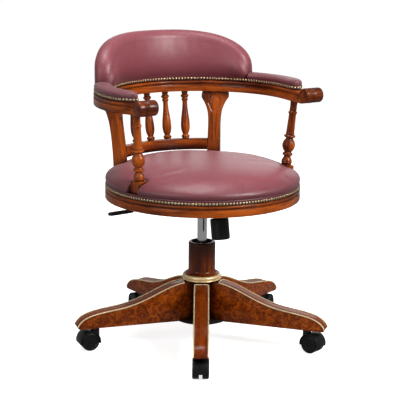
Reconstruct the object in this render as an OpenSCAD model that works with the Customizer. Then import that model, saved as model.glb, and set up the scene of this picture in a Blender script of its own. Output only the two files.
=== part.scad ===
// A swivel captain's chair for a desk: a round leather seat in a moulded wooden rim, a horseshoe
// arm rail on turned and shaped posts, a padded back, a gas lift and five wooden legs on casters.
// The floor is z = 0, the column stands on the Z axis and the sitter faces -Y.

/* [Casters] */
// Radius of a caster wheel
wheel_r = 26; // [22:1:30]
// Width of one caster wheel
wheel_w = 18; // [14:1:22]
// Radius of the round edge of a wheel's tread
tread_edge = 4; // [2:0.5:6]
// Depth of the dish in a wheel's outer face
wheel_dish = 2.5; // [1:0.5:4]
// Thickness of the web between the two wheels
web_t = 7; // [5:1:10]
// Gap between a wheel and the web beside it
wheel_side_gap = 1; // [0.5:0.1:2]
// Gap between a tread and the hood over it
hood_gap = 1.2; // [0.8:0.1:2]
// Wall of the hood
hood_t = 2.5; // [2:0.1:4]
// How far the hood reaches below the axle
hood_skirt = 6; // [2:1:10]
// Distance from the stem to the axle
caster_trail = 20; // [17:1:24]
// Radius of the housing round the stem
stem_housing_r = 12; // [10:0.5:14]
// Radius of the stem
stem_r = 5.5; // [4:0.5:6.5]
// Length of the stem inside the leg
stem_l = 29; // [22:1:31]
// Radius of the wheel axle
axle_r = 4; // [3:0.5:5]
// Height of the neck between hood and leg
caster_neck_h = 8.3; // [6:0.1:14]
// Wall of the stem's socket
socket_t = 2.5; // [1.5:0.1:3.5]
// Thickness of the socket's flange
socket_flange_t = 2; // [1:0.5:3]
// Turn of each caster about its stem
caster_turns = [0, -22, 12, -8, 6];

/* [Base] */
// Distance from the column to the tip of a leg
base_reach = 368; // [345:1:400]
// Width of a leg
leg_w = 41; // [34:1:48]
// Height of a leg at the hub
leg_root_h = 114; // [95:1:130]
// Distance from the column to a leg's waist
leg_waist_r = 240; // [220:5:255]
// Height of a leg at its waist
leg_waist_h = 52; // [46:1:60]
// Height of the round toe where the leg ends
leg_toe_h = 6; // [4:1:10]
// Distance from the tip of a leg to its caster's stem
stem_inset = 54; // [44:1:64]
// Radius of the hub that the legs meet
hub_r = 38; // [36:1:50]
// Height of the hub above the legs
hub_rise = 4; // [2:1:10]
// Turn of the base under the seat
base_turn = -31.6; // [-36:0.1:36]
// Radius of the steel plate under the hub
base_plate_r = 76; // [70:1:90]
// Thickness of the steel plate under the hub
base_plate_t = 3; // [2:0.5:5]
// Radius of a wood screw's shank
screw_r = 2.5; // [2:0.5:3]
// Radius of a wood screw's head
screw_head_r = 5; // [4:0.5:6]
// Height of a wood screw's head
screw_head_h = 2.5; // [2:0.5:3]
// Length of a base screw in the wood
screw_l = 26; // [18:1:40]

/* [Column] */
// Radius of the gilt ring under the sleeve
ring_r = 56.5; // [54:0.5:62]
// Height of the gilt ring
ring_h = 15; // [12:1:22]
// Outer radius of the wooden sleeve
sleeve_r = 38.5; // [35:0.5:44]
// Height of the wooden sleeve
sleeve_h = 94; // [80:1:110]
// How far the sleeve's foot flares out
sleeve_flare = 11.5; // [6:0.5:13]
// Height of the sleeve's flared foot
sleeve_flare_h = 15; // [10:1:24]
// Radius of the recess in the sleeve's top
sleeve_bore_r = 30; // [28:0.5:33]
// Height of the sleeve's foot that grips the tube
sleeve_foot_h = 8; // [4:1:16]
// Chamfer round the sleeve's top
sleeve_chamfer = 3; // [1:0.5:4]
// Outer radius of the standing tube
tube_r = 25; // [23:0.5:27]
// Wall of the standing tube
tube_t = 2; // [1.5:0.5:3]
// Thickness of the tube's end plate
tube_end_t = 3; // [2:0.5:5]
// Depth of the tube's top below the sleeve's top
tube_recess = 14; // [8:1:24]
// Length of the guide bush in the tube
bush_l = 90; // [60:1:110]
// Thickness of the guide bush's flange
bush_flange_t = 3; // [2:0.5:5]
// Radius of the chrome cylinder
cylinder_r = 14; // [12:0.5:16]
// Wall of the chrome cylinder
cylinder_t = 2; // [1.5:0.5:3]
// Thickness of the cylinder's lower end
cylinder_end_t = 8; // [5:1:14]
// Thickness of the cylinder's head, which holds the valve
cylinder_head_t = 20; // [14:1:26]
// Height of the cylinder's top above the sleeve at rest
column_rise = 113; // [105:1:140]
// Travel of the lift below the rest height
lift_down = 60; // [30:5:70]
// Travel of the lift above the rest height
lift_up = 40; // [20:5:50]
// Room left under the cylinder at its lowest
lift_spare = 14; // [6:1:30]
// Radius of the piston rod
rod_r = 5; // [4:0.5:6]
// Height of the piston on the rod
piston_h = 12; // [8:1:16]
// Thickness of the thrust washer
thrust_t = 3; // [2:0.5:4]
// Radius of the thrust washer
thrust_r = 12; // [9:0.5:16]
// Height of the rod's shoulder on the thrust washer
shoulder_h = 4; // [3:0.5:6]
// Radius of the clip under the tube's end
clip_r = 9; // [7:0.5:10]
// Thickness of the clip
clip_t = 2; // [1:0.5:2]
// Radius of the valve button
button_r = 4; // [3:0.5:5]
// Height of the valve button above the cylinder
button_h = 5; // [4:0.5:8]
// Length of the valve button inside the head
button_depth = 14; // [8:1:16]

/* [Tilt mechanism] */
// Width of the mechanism's housing
housing_w = 80; // [70:2:84]
// Sheet thickness of the housing
housing_t = 3; // [2:0.5:4]
// Front edge of the housing, forward of the column
housing_front = 62; // [56:1:64]
// Rear edge of the housing, behind the column
housing_rear = 70; // [50:1:90]
// Depth of the housing's floor below the cylinder's top
pan_drop = 26; // [22:1:34]
// Height of the housing's walls above the cylinder's top
wall_rise = 28; // [24:1:36]
// Wall of the hub that holds the cylinder
cylinder_hub_t = 6; // [4:1:9]
// Length of that hub below the floor
cylinder_hub_drop = 16; // [8:1:24]
// Length of that hub above the floor
cylinder_hub_rise = 17; // [10:1:18]
// Distance of the tilt pivot in front of the column
pivot_front = 21; // [18:1:26]
// Height of the tilt pivot above the cylinder's top
pivot_rise = 8; // [4:1:12]
// Radius of the tilt pivot's bolts
pivot_r = 4; // [3:0.5:5]
// Radius of the pivot bolts' heads
pivot_head_r = 7; // [6:0.5:9]
// Largest backward tilt of the seat
tilt_max = 10; // [6:1:12]
// Height of the rubber buffers under the plate
buffer_h = 8; // [5:1:12]
// Radius of the rubber buffers
buffer_r = 6.5; // [4:0.5:7]
// Distance of a buffer from the middle
buffer_x = 24; // [12:1:30]
// Depth of the bar that carries the buffers
stop_bar_w = 14; // [14:1:18]
// Thickness of the plate under the seat
plate_t = 3; // [2:0.5:5]
// Width of the plate
plate_w = 170; // [150:5:200]
// Front edge of the plate, forward of the column
plate_front = 100; // [95:1:120]
// Rear edge of the plate, behind the column
plate_rear = 80; // [70:5:120]
// Distance of the plate's screws from its edges
plate_screw_inset = 15; // [10:1:25]
// Half the width of an ear that hangs on the pivot
ear_half_w = 12; // [10:1:13]
// Gap between an ear and the housing's wall
ear_gap = 0.6; // [0.4:0.1:1.5]
// Length of the plate screws in the board
plate_screw_l = 15; // [10:1:18]

/* [Tension knob] */
// Radius of the tension knob
knob_r = 26; // [22:1:28]
// Height of the tension knob
knob_h = 59; // [50:1:66]
// Lean of the knob's axis, its foot forward
knob_lean = 10; // [6:1:12]
// Distance of the knob's axis in front of the column, at the arm
knob_front = 85.5; // [80:0.5:92]
// Gap between the housing's arm and the knob's rim
knob_gap = 27; // [26:1:34]
// Wall of the knob round its hollow
knob_wall = 7; // [5:0.5:8]
// Depth of the knob's hollow
knob_hollow_h = 31; // [24:1:36]
// Thickness of the knob's closed end
knob_end_t = 4; // [2:0.5:8]
// Radius of the tension bolt
bolt_r = 5; // [4:0.5:6]
// Radius of the tension bolt's head
bolt_head_r = 10; // [8:0.5:12]
// Height of the tension bolt's head
bolt_head_h = 8; // [5:0.5:9]
// Height of the housing's front arm above the floor of the housing
arm_lift = 24; // [20:1:28]
// Thickness of the front arm
arm_t = 4; // [3:0.5:6]
// Half the width of the front arm
arm_half_w = 24; // [18:1:30]
// Length of the front arm beyond the housing
arm_l = 50; // [48:1:56]
// Thickness of the washer under the spring
washer_t = 3; // [2:0.5:4]
// Mean radius of the tension spring
spring_r = 12; // [11:0.5:13]
// Radius of the spring's wire
spring_wire_r = 1.7; // [1.2:0.1:2]
// Turns of the tension spring
spring_turns = 6; // [4:1:7]
// Rise of the knob for one turn
knob_pitch = 1.75; // [1:0.25:2]
// Turns of the knob from slack to firm
knob_turns = 3; // [1:1:3]

/* [Lift lever] */
// Distance of the lever's pivot from the column
lever_pivot_x = 66; // [60:1:76]
// Height of the lever's pivot above the cylinder's top
lever_pivot_rise = 3; // [1:0.5:5]
// Middle of the lever behind the column
lever_back = 5; // [4:0.5:6]
// Width of the lever's bar
lever_w = 12; // [9:1:14]
// Thickness of the lever's bar
lever_t = 4; // [3:0.5:5]
// Reach of the lever from the column
lever_reach = 297; // [290:1:330]
// Droop of the lever's outer arm
lever_droop = 1.5; // [0:0.1:2]
// Radius of the lever's pin
lever_pin_r = 3; // [2:0.5:4]
// Wall of the lever's boss round the pin
lever_boss_t = 3.5; // [2.5:0.5:4]
// Sheet thickness of the lever's bracket
bracket_t = 3; // [2:0.5:4]
// Largest lift of the lever
lever_max = 2; // [1:0.5:2]
// Length of the lever's plastic grip
lever_grip_l = 72; // [50:1:90]
// Width of the lever's plastic grip
lever_grip_w = 20; // [16:1:26]
// Thickness of the lever's plastic grip
lever_grip_t = 7; // [6.5:0.5:9]

/* [Seat] */
// Radius of the wooden rim round the seat
seat_r = 275; // [265:1:300]
// Height of the wooden rim
rim_h = 43; // [38:1:52]
// Radial width of the rim's timber
rim_w = 40; // [36:1:50]
// Width of the ledge that carries the board
rim_ledge = 10; // [6:1:16]
// Height of the plain band at the foot of each moulding
band_h = 20; // [14:1:24]
// Height of the groove over the band
groove_h = 3.5; // [2:0.5:5]
// Depth of the groove
groove_d = 3; // [1:0.5:4]
// Height of the bead over the groove
bead_h = 8; // [5:0.5:9]
// Setback of the upholstered edge over the bead
rebate_d = 5; // [3:0.5:6]
// Thickness of the seat board
board_t = 22; // [18:1:25]
// Thickness of the leather skirt that is nailed to the rim
skirt_t = 2.4; // [1.5:0.1:3]
// Height of the cushion's round edge
cushion_edge_h = 42; // [34:1:50]
// Height of the crown over the cushion's edge
crown_h = 14; // [6:1:22]
// Bulge of the cushion beyond its skirt
cushion_bulge = 3.5; // [2:0.5:8]
// Radial depth of the cushion's round edge
cushion_edge_w = 24; // [16:1:30]
// Gap round the posts in the cushion
notch_gap = 1.5; // [1:0.5:3]

/* [Posts] */
// Height from the seat rim's top to the arm rail
arm_gap = 221; // [200:1:240]
// From the seat's outer edge in to the middle of a front post
front_post_inset = 29; // [25:1:31]
// Angle of the front posts forward of the seat's sides
front_post_angle = 15; // [10:1:20]
// Outward lean of the front posts
front_lean_out = 4.4; // [3:0.1:5.5]
// Forward lean of the front posts
front_lean_fwd = 3.6; // [0:0.1:5]
// Side of the square block at a front post's foot
block_w = 34.6; // [30:0.2:38]
// Height of that block
block_h = 38; // [30:1:46]
// Turn of that block
block_turn = 10; // [0:1:20]
// Height of the flared foot above the block
post_flare_h = 26; // [20:1:32]
// Radius of the flared foot
post_flare_r = 15.6; // [13:0.2:17]
// Radius of a front post's necks
post_neck_r = 9.8; // [8:0.2:11]
// Height of the round bulb
post_bulb_h = 49; // [38:1:54]
// Radius of the round bulb
post_bulb_r = 18.2; // [15:0.2:21]
// Radius of the large ring over the bulb
post_ring_r = 16.2; // [14:0.2:19]
// Height of the large ring
post_ring_h = 10.5; // [7:0.5:12]
// Radius of the shaft over the ring
post_shaft_r = 11.8; // [10:0.2:13]
// Radius of the shaft's top
post_top_r = 9.4; // [8:0.2:11]
// Distance of the small ring below the shaft's top
post_collar_drop = 33; // [24:1:44]
// Radius of the small ring near the shaft's top
post_collar_r = 12.6; // [11:0.2:15]
// Radius of the tenon under each post
tenon_r = 8; // [6:0.5:9]
// Length of the tenon under each post
tenon_l = 18; // [10:1:24]
// Angle of the rear posts from straight behind
rear_post_angle = 39; // [36:1:42]
// From the seat's outer edge in to the middle of a rear post
rear_post_inset = 24; // [21:1:25]
// Thickness of a rear post
rear_post_t = 30; // [26:1:34]
// Width of a rear post's foot
rear_foot_w = 40; // [36:1:46]
// Width of a rear post's waist
rear_waist_w = 35; // [30:1:40]
// Height of a rear post's waist
rear_waist_h = 118; // [95:1:125]
// Width of a rear post's head
rear_head_w = 80; // [66:1:90]
// Height of a rear post's head
rear_head_h = 20; // [12:1:30]
// Bend of a rear post: how much of its sweep lies near its top
rear_sweep = 1.8; // [1.5:0.1:3]

/* [Back] */
// Height of the lower back rail above the seat rim's top
lower_rail_rise = 47; // [44:1:56]
// Height of the lower back rail
lower_rail_h = 33; // [26:1:40]
// Thickness of the lower back rail
lower_rail_t = 20; // [16:1:22]
// From the seat's outer edge in to the lower back rail's middle line
lower_rail_inset = 26; // [23:1:27]
// Number of turned spindles in the back
spindle_n = 4; // [2:1:5]
// Angle from one spindle to the next
spindle_step = 13; // [11:0.5:13]
// From the arm rail's middle line in to the tops of the spindles
spindle_top_inset = 6; // [0:1:10]
// Radius of a spindle's foot ring
spindle_ring_r = 12.3; // [10:0.1:14]
// Radius of a spindle's belly
spindle_belly_r = 13.4; // [11:0.1:15]
// Radius of a spindle's neck
spindle_neck_r = 7.4; // [6:0.1:9]
// Radius of a spindle's collar
spindle_collar_r = 11.9; // [10:0.1:14]

/* [Arm rail] */
// How far the arm rail's middle line stands out from the seat's outer edge
rail_out = 3; // [-1:1:7]
// Width of the arm rail
rail_w = 55; // [52:1:60]
// Inward turn of the arms' front stretches
arm_toe = 6; // [3:1:10]
// Length of an arm's straight front stretch
arm_front_l = 106; // [100:1:114]
// How far an arm's outer face draws in towards the handgrip
arm_taper = 20; // [0:1:24]
// Length of the stretch in which it draws in
arm_taper_l = 75; // [50:1:100]
// Length of the straight stretch up to the middle of the handgrip
grip_at = 117.6; // [114:0.2:122]
// Radius of a handgrip
grip_r = 21; // [18:0.5:23]
// Length of a handgrip
grip_l = 57; // [50:1:64]
// Height of a handgrip's axis above the rail's underside
grip_rise = 24; // [22:0.5:26]
// Depth of the grooves beside a handgrip's ring
grip_groove_d = 1.6; // [1:0.1:2.5]
// Distance of the ring from a handgrip's end
grip_ring_at = 21.5; // [14:0.5:25]
// Radius of the round edge at a grip's end
grip_edge = 4; // [2:0.5:6]

/* [Pads] */
// Side inset of the pads from the rail's faces
pad_inset = 3; // [2:0.5:5]
// Height of an arm pad's nailed side
pad_side_h = 12; // [8:1:16]
// Height of an arm pad
pad_h = 27; // [20:1:34]
// Bulge of a pad beyond its nailed side
pad_bulge = 2.5; // [1:0.5:4]
// Front end of an arm pad along the straight stretch
pad_front = 62; // [50:1:70]
// Length of an arm pad's round nose
pad_nose_l = 40; // [25:1:48]
// Angle from straight behind to the end of the back pad
back_pad_angle = 61.5; // [56:0.5:66]
// Height of the back pad in its middle
back_pad_h = 150; // [120:1:170]
// Height of the back pad at its ends
back_pad_end_h = 45; // [36:1:60]
// Angle taken by the back pad's rounded end
back_pad_round = 7; // [5:0.5:10]
// Gap between neighbouring pads
pad_gap = 0.5; // [0.3:0.1:1]
// Gap under each cushion and pad
soft_gap = 0.3; // [0.2:0.1:0.5]

/* [Fits] */
// Radial clearance of parts that turn or slide in one another
running_fit = 0.05; // [0.02:0.01:0.1]
// Gap between flat parts that pass one another
flat_gap = 0.3; // [0.2:0.1:0.5]

/* [Hidden] */
$fn = 64;
hood_r = wheel_r + hood_gap + hood_t;
hood_w = web_t + 2 * (wheel_side_gap + wheel_w);
leg_z = wheel_r + hood_r + caster_neck_h;
stem_at = base_reach - stem_inset;
socket_in_r = stem_r + running_fit;
socket_out_r = socket_in_r + socket_t;
leg_step = 72;

foot_z = leg_z + base_plate_t;
hub_top = leg_z + leg_root_h + hub_rise;
ring_top = hub_top + ring_h;
sleeve_top = ring_top + sleeve_h;
tube_top = sleeve_top - tube_recess;
bush_in_r = cylinder_r + running_fit;
cylinder_top = sleeve_top + column_rise;
thrust_z = foot_z + tube_end_t + running_fit;
shoulder_z = thrust_z + thrust_t + running_fit;
cylinder_bottom = shoulder_z + shoulder_h + lift_down + lift_spare;
piston_z = cylinder_bottom + cylinder_end_t + lift_up + piston_h / 2;
leg_screw_r = (hub_r + base_plate_r) / 2;
hub_screw_r = (tube_r + hub_r) / 2;

pan_z = cylinder_top - pan_drop;
wall_top = cylinder_top + wall_rise;
plate_z = wall_top + buffer_h;
board_z = plate_z + plate_t;
rim_top = board_z + board_t;
rim_z = rim_top - rim_h;
pivot_z = cylinder_top + pivot_rise;
ear_x = housing_w / 2 + ear_gap;
wall_slope = tilt_max + 1;
arm_z = pan_z + arm_lift;
stop_bar_y = stop_bar_w / 2 - housing_front;
knob_top = -knob_gap;
knob_floor = knob_top - knob_hollow_h;
knob_bottom = knob_top - knob_h;
bolt_top = (board_z - arm_z) / cos(knob_lean) + bolt_head_h;
bolt_bottom = knob_bottom + knob_end_t + knob_pitch * knob_turns + 2;
spring_top = -(spring_r + spring_wire_r) * tan(knob_lean) - spring_wire_r - flat_gap;
spring_bottom = knob_floor + washer_t + spring_wire_r + flat_gap;

lever_z = cylinder_top + lever_pivot_rise;
lever_bar_z = cylinder_top + button_h + flat_gap;
lever_boss_r = lever_pin_r + running_fit + lever_boss_t;
lever_outer_l = lever_reach - lever_pivot_x;
lever_bore_h = 2 * (lever_boss_r + lever_t);
bracket_half = lever_w / 2 + 2 * flat_gap;

moulding_h = band_h + groove_h + bead_h;
rim_in_r = seat_r - rim_w;
rail_r = seat_r + rail_out;
front_post_r = seat_r - front_post_inset;
rear_post_r = seat_r - rear_post_inset;
lower_rail_r = seat_r - lower_rail_inset;
spindle_top_r = rail_r - spindle_top_inset;
post_cut = rail_w + 2 * (rail_r - rear_post_r + rear_post_t);
rebate_r = seat_r - rebate_d;
skirt_r = rebate_r + soft_gap;
cushion_r = skirt_r + skirt_t + cushion_bulge;
rail_z = rim_top + arm_gap;
rail_top = rail_z + moulding_h;
lower_rail_z = rim_top + lower_rail_rise;
lower_rail_top = lower_rail_z + lower_rail_h;
spindle_l = rail_z - lower_rail_top;
spindle_lean = atan((spindle_top_r - lower_rail_r) / spindle_l);
front_post_l = arm_gap / cos(front_lean_out) / cos(front_lean_fwd);
pad_half = rail_w / 2 - pad_inset;
grip_z = rail_z + grip_rise;
arm_bend = [rail_r * cos(arm_toe), -rail_r * sin(arm_toe)];
arm_dir = [-sin(arm_toe), -cos(arm_toe)];
grip_pos = arm_bend + grip_at * arm_dir;

// Colours
walnut = "#8a4a1c";
dark_walnut = "#5c2a12";
oxblood = "#6e1f2b";
brass = "#c9a35a";
black = "#1c1c1e";
steel = "#9a9a98";

// Shared shapes

// Points of a cubic curve through its two ends, shaped by two handles
function curve(a, b, c, d, n) = [for (i = [0:n]) let (t = i / n, s = 1 - t)
    s * s * s * a + 3 * s * s * t * b + 3 * s * t * t * c + t * t * t * d];

// Points [radius, height] of a turned bulge from one height to another
function bulge(h0, h1, r, peak, n) = [for (i = [0:n])
    [r + (peak - r) * sin(180 * i / n), h0 + (h1 - h0) * i / n]];

// Turns a list of [radius, height] points about Z, closed down the axis
module turned(points, fn = 48) {
    last = len(points) - 1;
    rotate_extrude($fn = fn)
        polygon(concat([[0, points[0][1]]], points, [[0, points[last][1]]]));
}

// One face of a moulding from its foot up: a band, a groove and a bead; side is 1 or -1
function moulding(x, side) = concat(
    [[x - side, 0], [x, 1], [x, band_h], [x - side * groove_d, band_h + 0.5],
     [x - side * groove_d, band_h + groove_h]],
    [for (a = [-60:30:90]) [x - side * (groove_d - groove_d * cos(a)),
        band_h + groove_h + bead_h / 2 * (1 + sin(a))]]);

// Triangles of a flat end whose ring is the same on both sides: strips from its foot to its top
function end_strips(n) = [for (i = [0:ceil(n / 2) - 2]) each concat(
    i + 1 < n - 2 - i ? [[i, i + 1, n - 2 - i]] : [], [[i, n - 2 - i, n - 1 - i]])];

// A closed skin over rings of points that run anticlockwise as seen from the next ring
module skin(rings) {
    n = len(rings[0]);
    m = len(rings);
    polyhedron(
        points = [for (ring = rings) each ring],
        faces = concat(
            [for (j = [0:m - 2], i = [0:n - 1]) [j * n + i, j * n + (i + 1) % n, (j + 1) * n + i]],
            [for (j = [0:m - 2], i = [0:n - 1])
                [j * n + (i + 1) % n, (j + 1) * n + (i + 1) % n, (j + 1) * n + i]],
            [for (t = end_strips(n)) [t[2], t[1], t[0]]],
            [for (t = end_strips(n)) [for (i = t) (m - 1) * n + i]]));
}

// Shows its children and their mirror image across the chair's middle
module both_sides() {
    children();
    mirror([1, 0, 0]) children();
}

// Places children at one leg, with +X along the leg
module at_leg(i) {
    rotate([0, 0, base_turn - 90 + leg_step * (i - 1)]) children();
}

// Places children at one caster's stem, with +X towards its axle
module at_caster(i) {
    at_leg(i) translate([stem_at, 0, 0]) rotate([0, 0, caster_turns[i - 1]]) children();
}

// Casters

module caster_yoke(i) {
    color(black) at_caster(i) difference() {
        union() {
            translate([caster_trail, 0, wheel_r]) rotate([90, 0, 0])
                linear_extrude(hood_w, center = true) difference() {
                    circle(hood_r);
                    translate([-2 * hood_r, -2 * hood_r]) square([4 * hood_r, 2 * hood_r - hood_skirt]);
                }
            translate([caster_trail, 0, wheel_r]) rotate([90, 0, 0])
                cylinder(r = wheel_r / 2, h = web_t, center = true);
            translate([0, 0, wheel_r - hood_skirt])
                cylinder(r = stem_housing_r,
                    h = leg_z - socket_flange_t - flat_gap - wheel_r + hood_skirt);
        }
        for (side = [-1, 1]) translate([caster_trail, side * (web_t + hood_w) / 2, wheel_r])
            rotate([90, 0, 0]) cylinder(r = wheel_r + hood_gap, h = hood_w, center = true);
        translate([caster_trail, 0, wheel_r]) rotate([90, 0, 0])
            cylinder(r = axle_r, h = hood_w, center = true);
        translate([0, 0, 2 * wheel_r - hood_gap]) cylinder(r = stem_r, h = leg_z);
    }
}

module caster_pins(i) {
    color(steel) at_caster(i) {
        translate([0, 0, 2 * wheel_r - hood_gap])
            cylinder(r = stem_r, h = leg_z + stem_l - 2 * wheel_r + hood_gap);
        translate([caster_trail, 0, wheel_r]) rotate([90, 0, 0])
            cylinder(r = axle_r, h = hood_w - 2 * wheel_dish - 1, center = true);
    }
}

// A wheel to one side of its web; side is 1 for the left and -1 for the right
module caster_wheel(i, side) {
    bore = axle_r + running_fit;
    shoulder = wheel_r - tread_edge;
    color(black) at_caster(i)
        translate([caster_trail, side * (web_t / 2 + wheel_side_gap), wheel_r])
        rotate([-90 * side, 0, 0]) rotate_extrude() polygon(concat(
            [[bore, 0], [wheel_r - 1, 0], [wheel_r, 1]],
            [for (a = [0:22.5:90])
                [shoulder + tread_edge * cos(a), wheel_w - tread_edge * (1 - sin(a))]],
            [[shoulder - 2, wheel_w], [shoulder - 4, wheel_w - wheel_dish],
             [2 * bore, wheel_w - wheel_dish], [2 * bore - 1, wheel_w - 0.5],
             [bore, wheel_w - 0.5]]));
}

module caster_sockets() {
    color(steel) for (i = [1:5]) at_leg(i) translate([stem_at, 0, leg_z]) difference() {
        union() {
            cylinder(r = socket_out_r, h = stem_l + 1);
            translate([0, 0, -socket_flange_t]) cylinder(r = stem_housing_r, h = socket_flange_t);
        }
        translate([0, 0, -socket_flange_t - 1]) cylinder(r = socket_in_r, h = stem_l + 9);
    }
}

// Base

module leg(i) {
    run = leg_waist_r - hub_r;
    drop = leg_root_h - leg_waist_h;
    crest = curve([hub_r - 6, leg_root_h], [hub_r + run / 3, leg_root_h + 3],
        [hub_r + 0.55 * run, leg_waist_h + drop / 4], [leg_waist_r, leg_waist_h], 12);
    mitre = base_reach * tan(leg_step / 2);
    toe = curve([leg_waist_r, leg_waist_h], [leg_waist_r + 60, leg_waist_h - 10],
        [base_reach - 14, leg_waist_h - 10], [base_reach, leg_toe_h], 10);
    color(walnut) at_leg(i) difference() {
        intersection() {
            translate([0, leg_w / 2, leg_z]) rotate([90, 0, 0]) linear_extrude(leg_w)
                polygon(concat([[hub_r - 6, 0]], crest, [for (k = [1:10]) toe[k]],
                    [[base_reach - 2, 2], [base_reach - leg_toe_h, 0]]));
            translate([flat_gap, 0, leg_z - 1]) linear_extrude(2 * leg_root_h)
                polygon([[0, 0], [base_reach, mitre], [base_reach, -mitre]]);
        }
        translate([0, 0, leg_z - 1]) {
            cylinder(r = hub_r, h = leg_root_h + 9);
            cylinder(r = base_plate_r + flat_gap, h = base_plate_t + 1);
            translate([stem_at, 0, 0]) cylinder(r = socket_out_r, h = stem_l + 2);
            translate([leg_screw_r, 0, 0]) cylinder(r = screw_r, h = base_plate_t + screw_l + 1);
        }
    }
}

module base_hub() {
    color(dark_walnut) difference() {
        translate([0, 0, foot_z]) cylinder(r = hub_r, h = hub_top - foot_z);
        translate([0, 0, leg_z]) cylinder(r = tube_r, h = hub_top);
        for (i = [1:5]) at_leg(i) translate([hub_screw_r, 0, leg_z])
            cylinder(r = screw_r, h = base_plate_t + screw_l);
    }
}

module base_plate() {
    color(steel) translate([0, 0, leg_z]) difference() {
        cylinder(r = base_plate_r, h = base_plate_t);
        translate([0, 0, -1]) cylinder(r = clip_r + 3, h = base_plate_t + 2);
        for (i = [1:5], r = [hub_screw_r, leg_screw_r]) at_leg(i) translate([r, 0, -1])
            cylinder(r = screw_r, h = base_plate_t + 2);
    }
}

module base_screws() {
    color(steel) for (i = [1:5], r = [hub_screw_r, leg_screw_r])
        at_leg(i) translate([r, 0, leg_z]) {
            cylinder(r = screw_r, h = base_plate_t + screw_l);
            translate([0, 0, -screw_head_h]) cylinder(r = screw_head_r, h = screw_head_h);
        }
}

// Column

module column_ring() {
    bead_top = 0.3 * ring_h;
    color(brass) translate([0, 0, hub_top]) rotate_extrude()
        polygon(concat([[tube_r, 0]],
            bulge(0, bead_top, ring_r - 2.2, ring_r, 8),
            curve([ring_r - 3, bead_top + 0.6], [ring_r, ring_h / 2], [ring_r - 0.5, 0.9 * ring_h],
                [ring_r - 6, ring_h], 8),
            [[tube_r, ring_h]]));
}

module column_sleeve() {
    flare_r = sleeve_r + sleeve_flare;
    color(walnut) translate([0, 0, ring_top]) rotate_extrude()
        polygon(concat([[tube_r, 0], [flare_r, 0]],
            curve([flare_r, 2], [flare_r - 0.7 * sleeve_flare, 4], [sleeve_r, sleeve_flare_h / 2],
                [sleeve_r, sleeve_flare_h], 8),
            [[sleeve_r, sleeve_h - sleeve_chamfer], [sleeve_r - sleeve_chamfer, sleeve_h],
             [sleeve_bore_r, sleeve_h], [sleeve_bore_r, sleeve_foot_h], [tube_r, sleeve_foot_h]]));
}

module column_tube() {
    color(black) translate([0, 0, foot_z]) difference() {
        cylinder(r = tube_r, h = tube_top - foot_z);
        translate([0, 0, tube_end_t]) cylinder(r = tube_r - tube_t, h = tube_top);
        translate([0, 0, -1]) cylinder(r = rod_r + running_fit, h = tube_end_t + 2);
    }
}

module guide_bush() {
    color(black) translate([0, 0, tube_top - bush_l]) difference() {
        union() {
            cylinder(r = tube_r - tube_t, h = bush_l);
            translate([0, 0, bush_l]) cylinder(r = tube_r, h = bush_flange_t);
        }
        translate([0, 0, -1]) cylinder(r = bush_in_r, h = bush_l + bush_flange_t + 2);
    }
}

module piston_rod() {
    shoulder_r = (rod_r + thrust_r) / 2;
    color(steel) {
        translate([0, 0, leg_z]) cylinder(r = rod_r, h = piston_z - leg_z);
        translate([0, 0, shoulder_z]) cylinder(r = shoulder_r, h = shoulder_h);
        translate([0, 0, piston_z])
            cylinder(r = cylinder_r - cylinder_t - running_fit, h = piston_h);
    }
}

module rod_clips() {
    color(steel) {
        translate([0, 0, thrust_z]) difference() {
            cylinder(r = thrust_r, h = thrust_t);
            translate([0, 0, -1]) cylinder(r = rod_r, h = thrust_t + 2);
        }
        translate([0, 0, foot_z - running_fit - clip_t]) difference() {
            cylinder(r = clip_r, h = clip_t);
            translate([0, 0, -1]) cylinder(r = rod_r, h = clip_t + 2);
        }
    }
}

module gas_cylinder() {
    hollow = cylinder_top - cylinder_bottom - cylinder_end_t - cylinder_head_t;
    color(steel) translate([0, 0, cylinder_bottom]) difference() {
        cylinder(r = cylinder_r, h = cylinder_top - cylinder_bottom);
        translate([0, 0, cylinder_end_t]) cylinder(r = cylinder_r - cylinder_t, h = hollow);
        translate([0, 0, -1]) cylinder(r = rod_r + running_fit, h = cylinder_end_t + 2);
        translate([0, 0, cylinder_end_t + hollow - 1])
            cylinder(r = button_r + running_fit, h = cylinder_head_t + 2);
    }
}

module valve_button() {
    color(steel) translate([0, 0, cylinder_top - button_depth])
        cylinder(r = button_r, h = button_depth + button_h);
}

// Tilt mechanism

// The side wall of the housing, lower behind the pivot so that the plate can come down
module housing_wall() {
    run = housing_rear + pivot_front;
    rotate([90, 0, 90]) linear_extrude(housing_t)
        polygon([[-housing_front, pan_z], [housing_rear, pan_z],
            [housing_rear, wall_top - run * tan(wall_slope)],
            [-pivot_front, wall_top], [-housing_front, wall_top]]);
}

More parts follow.
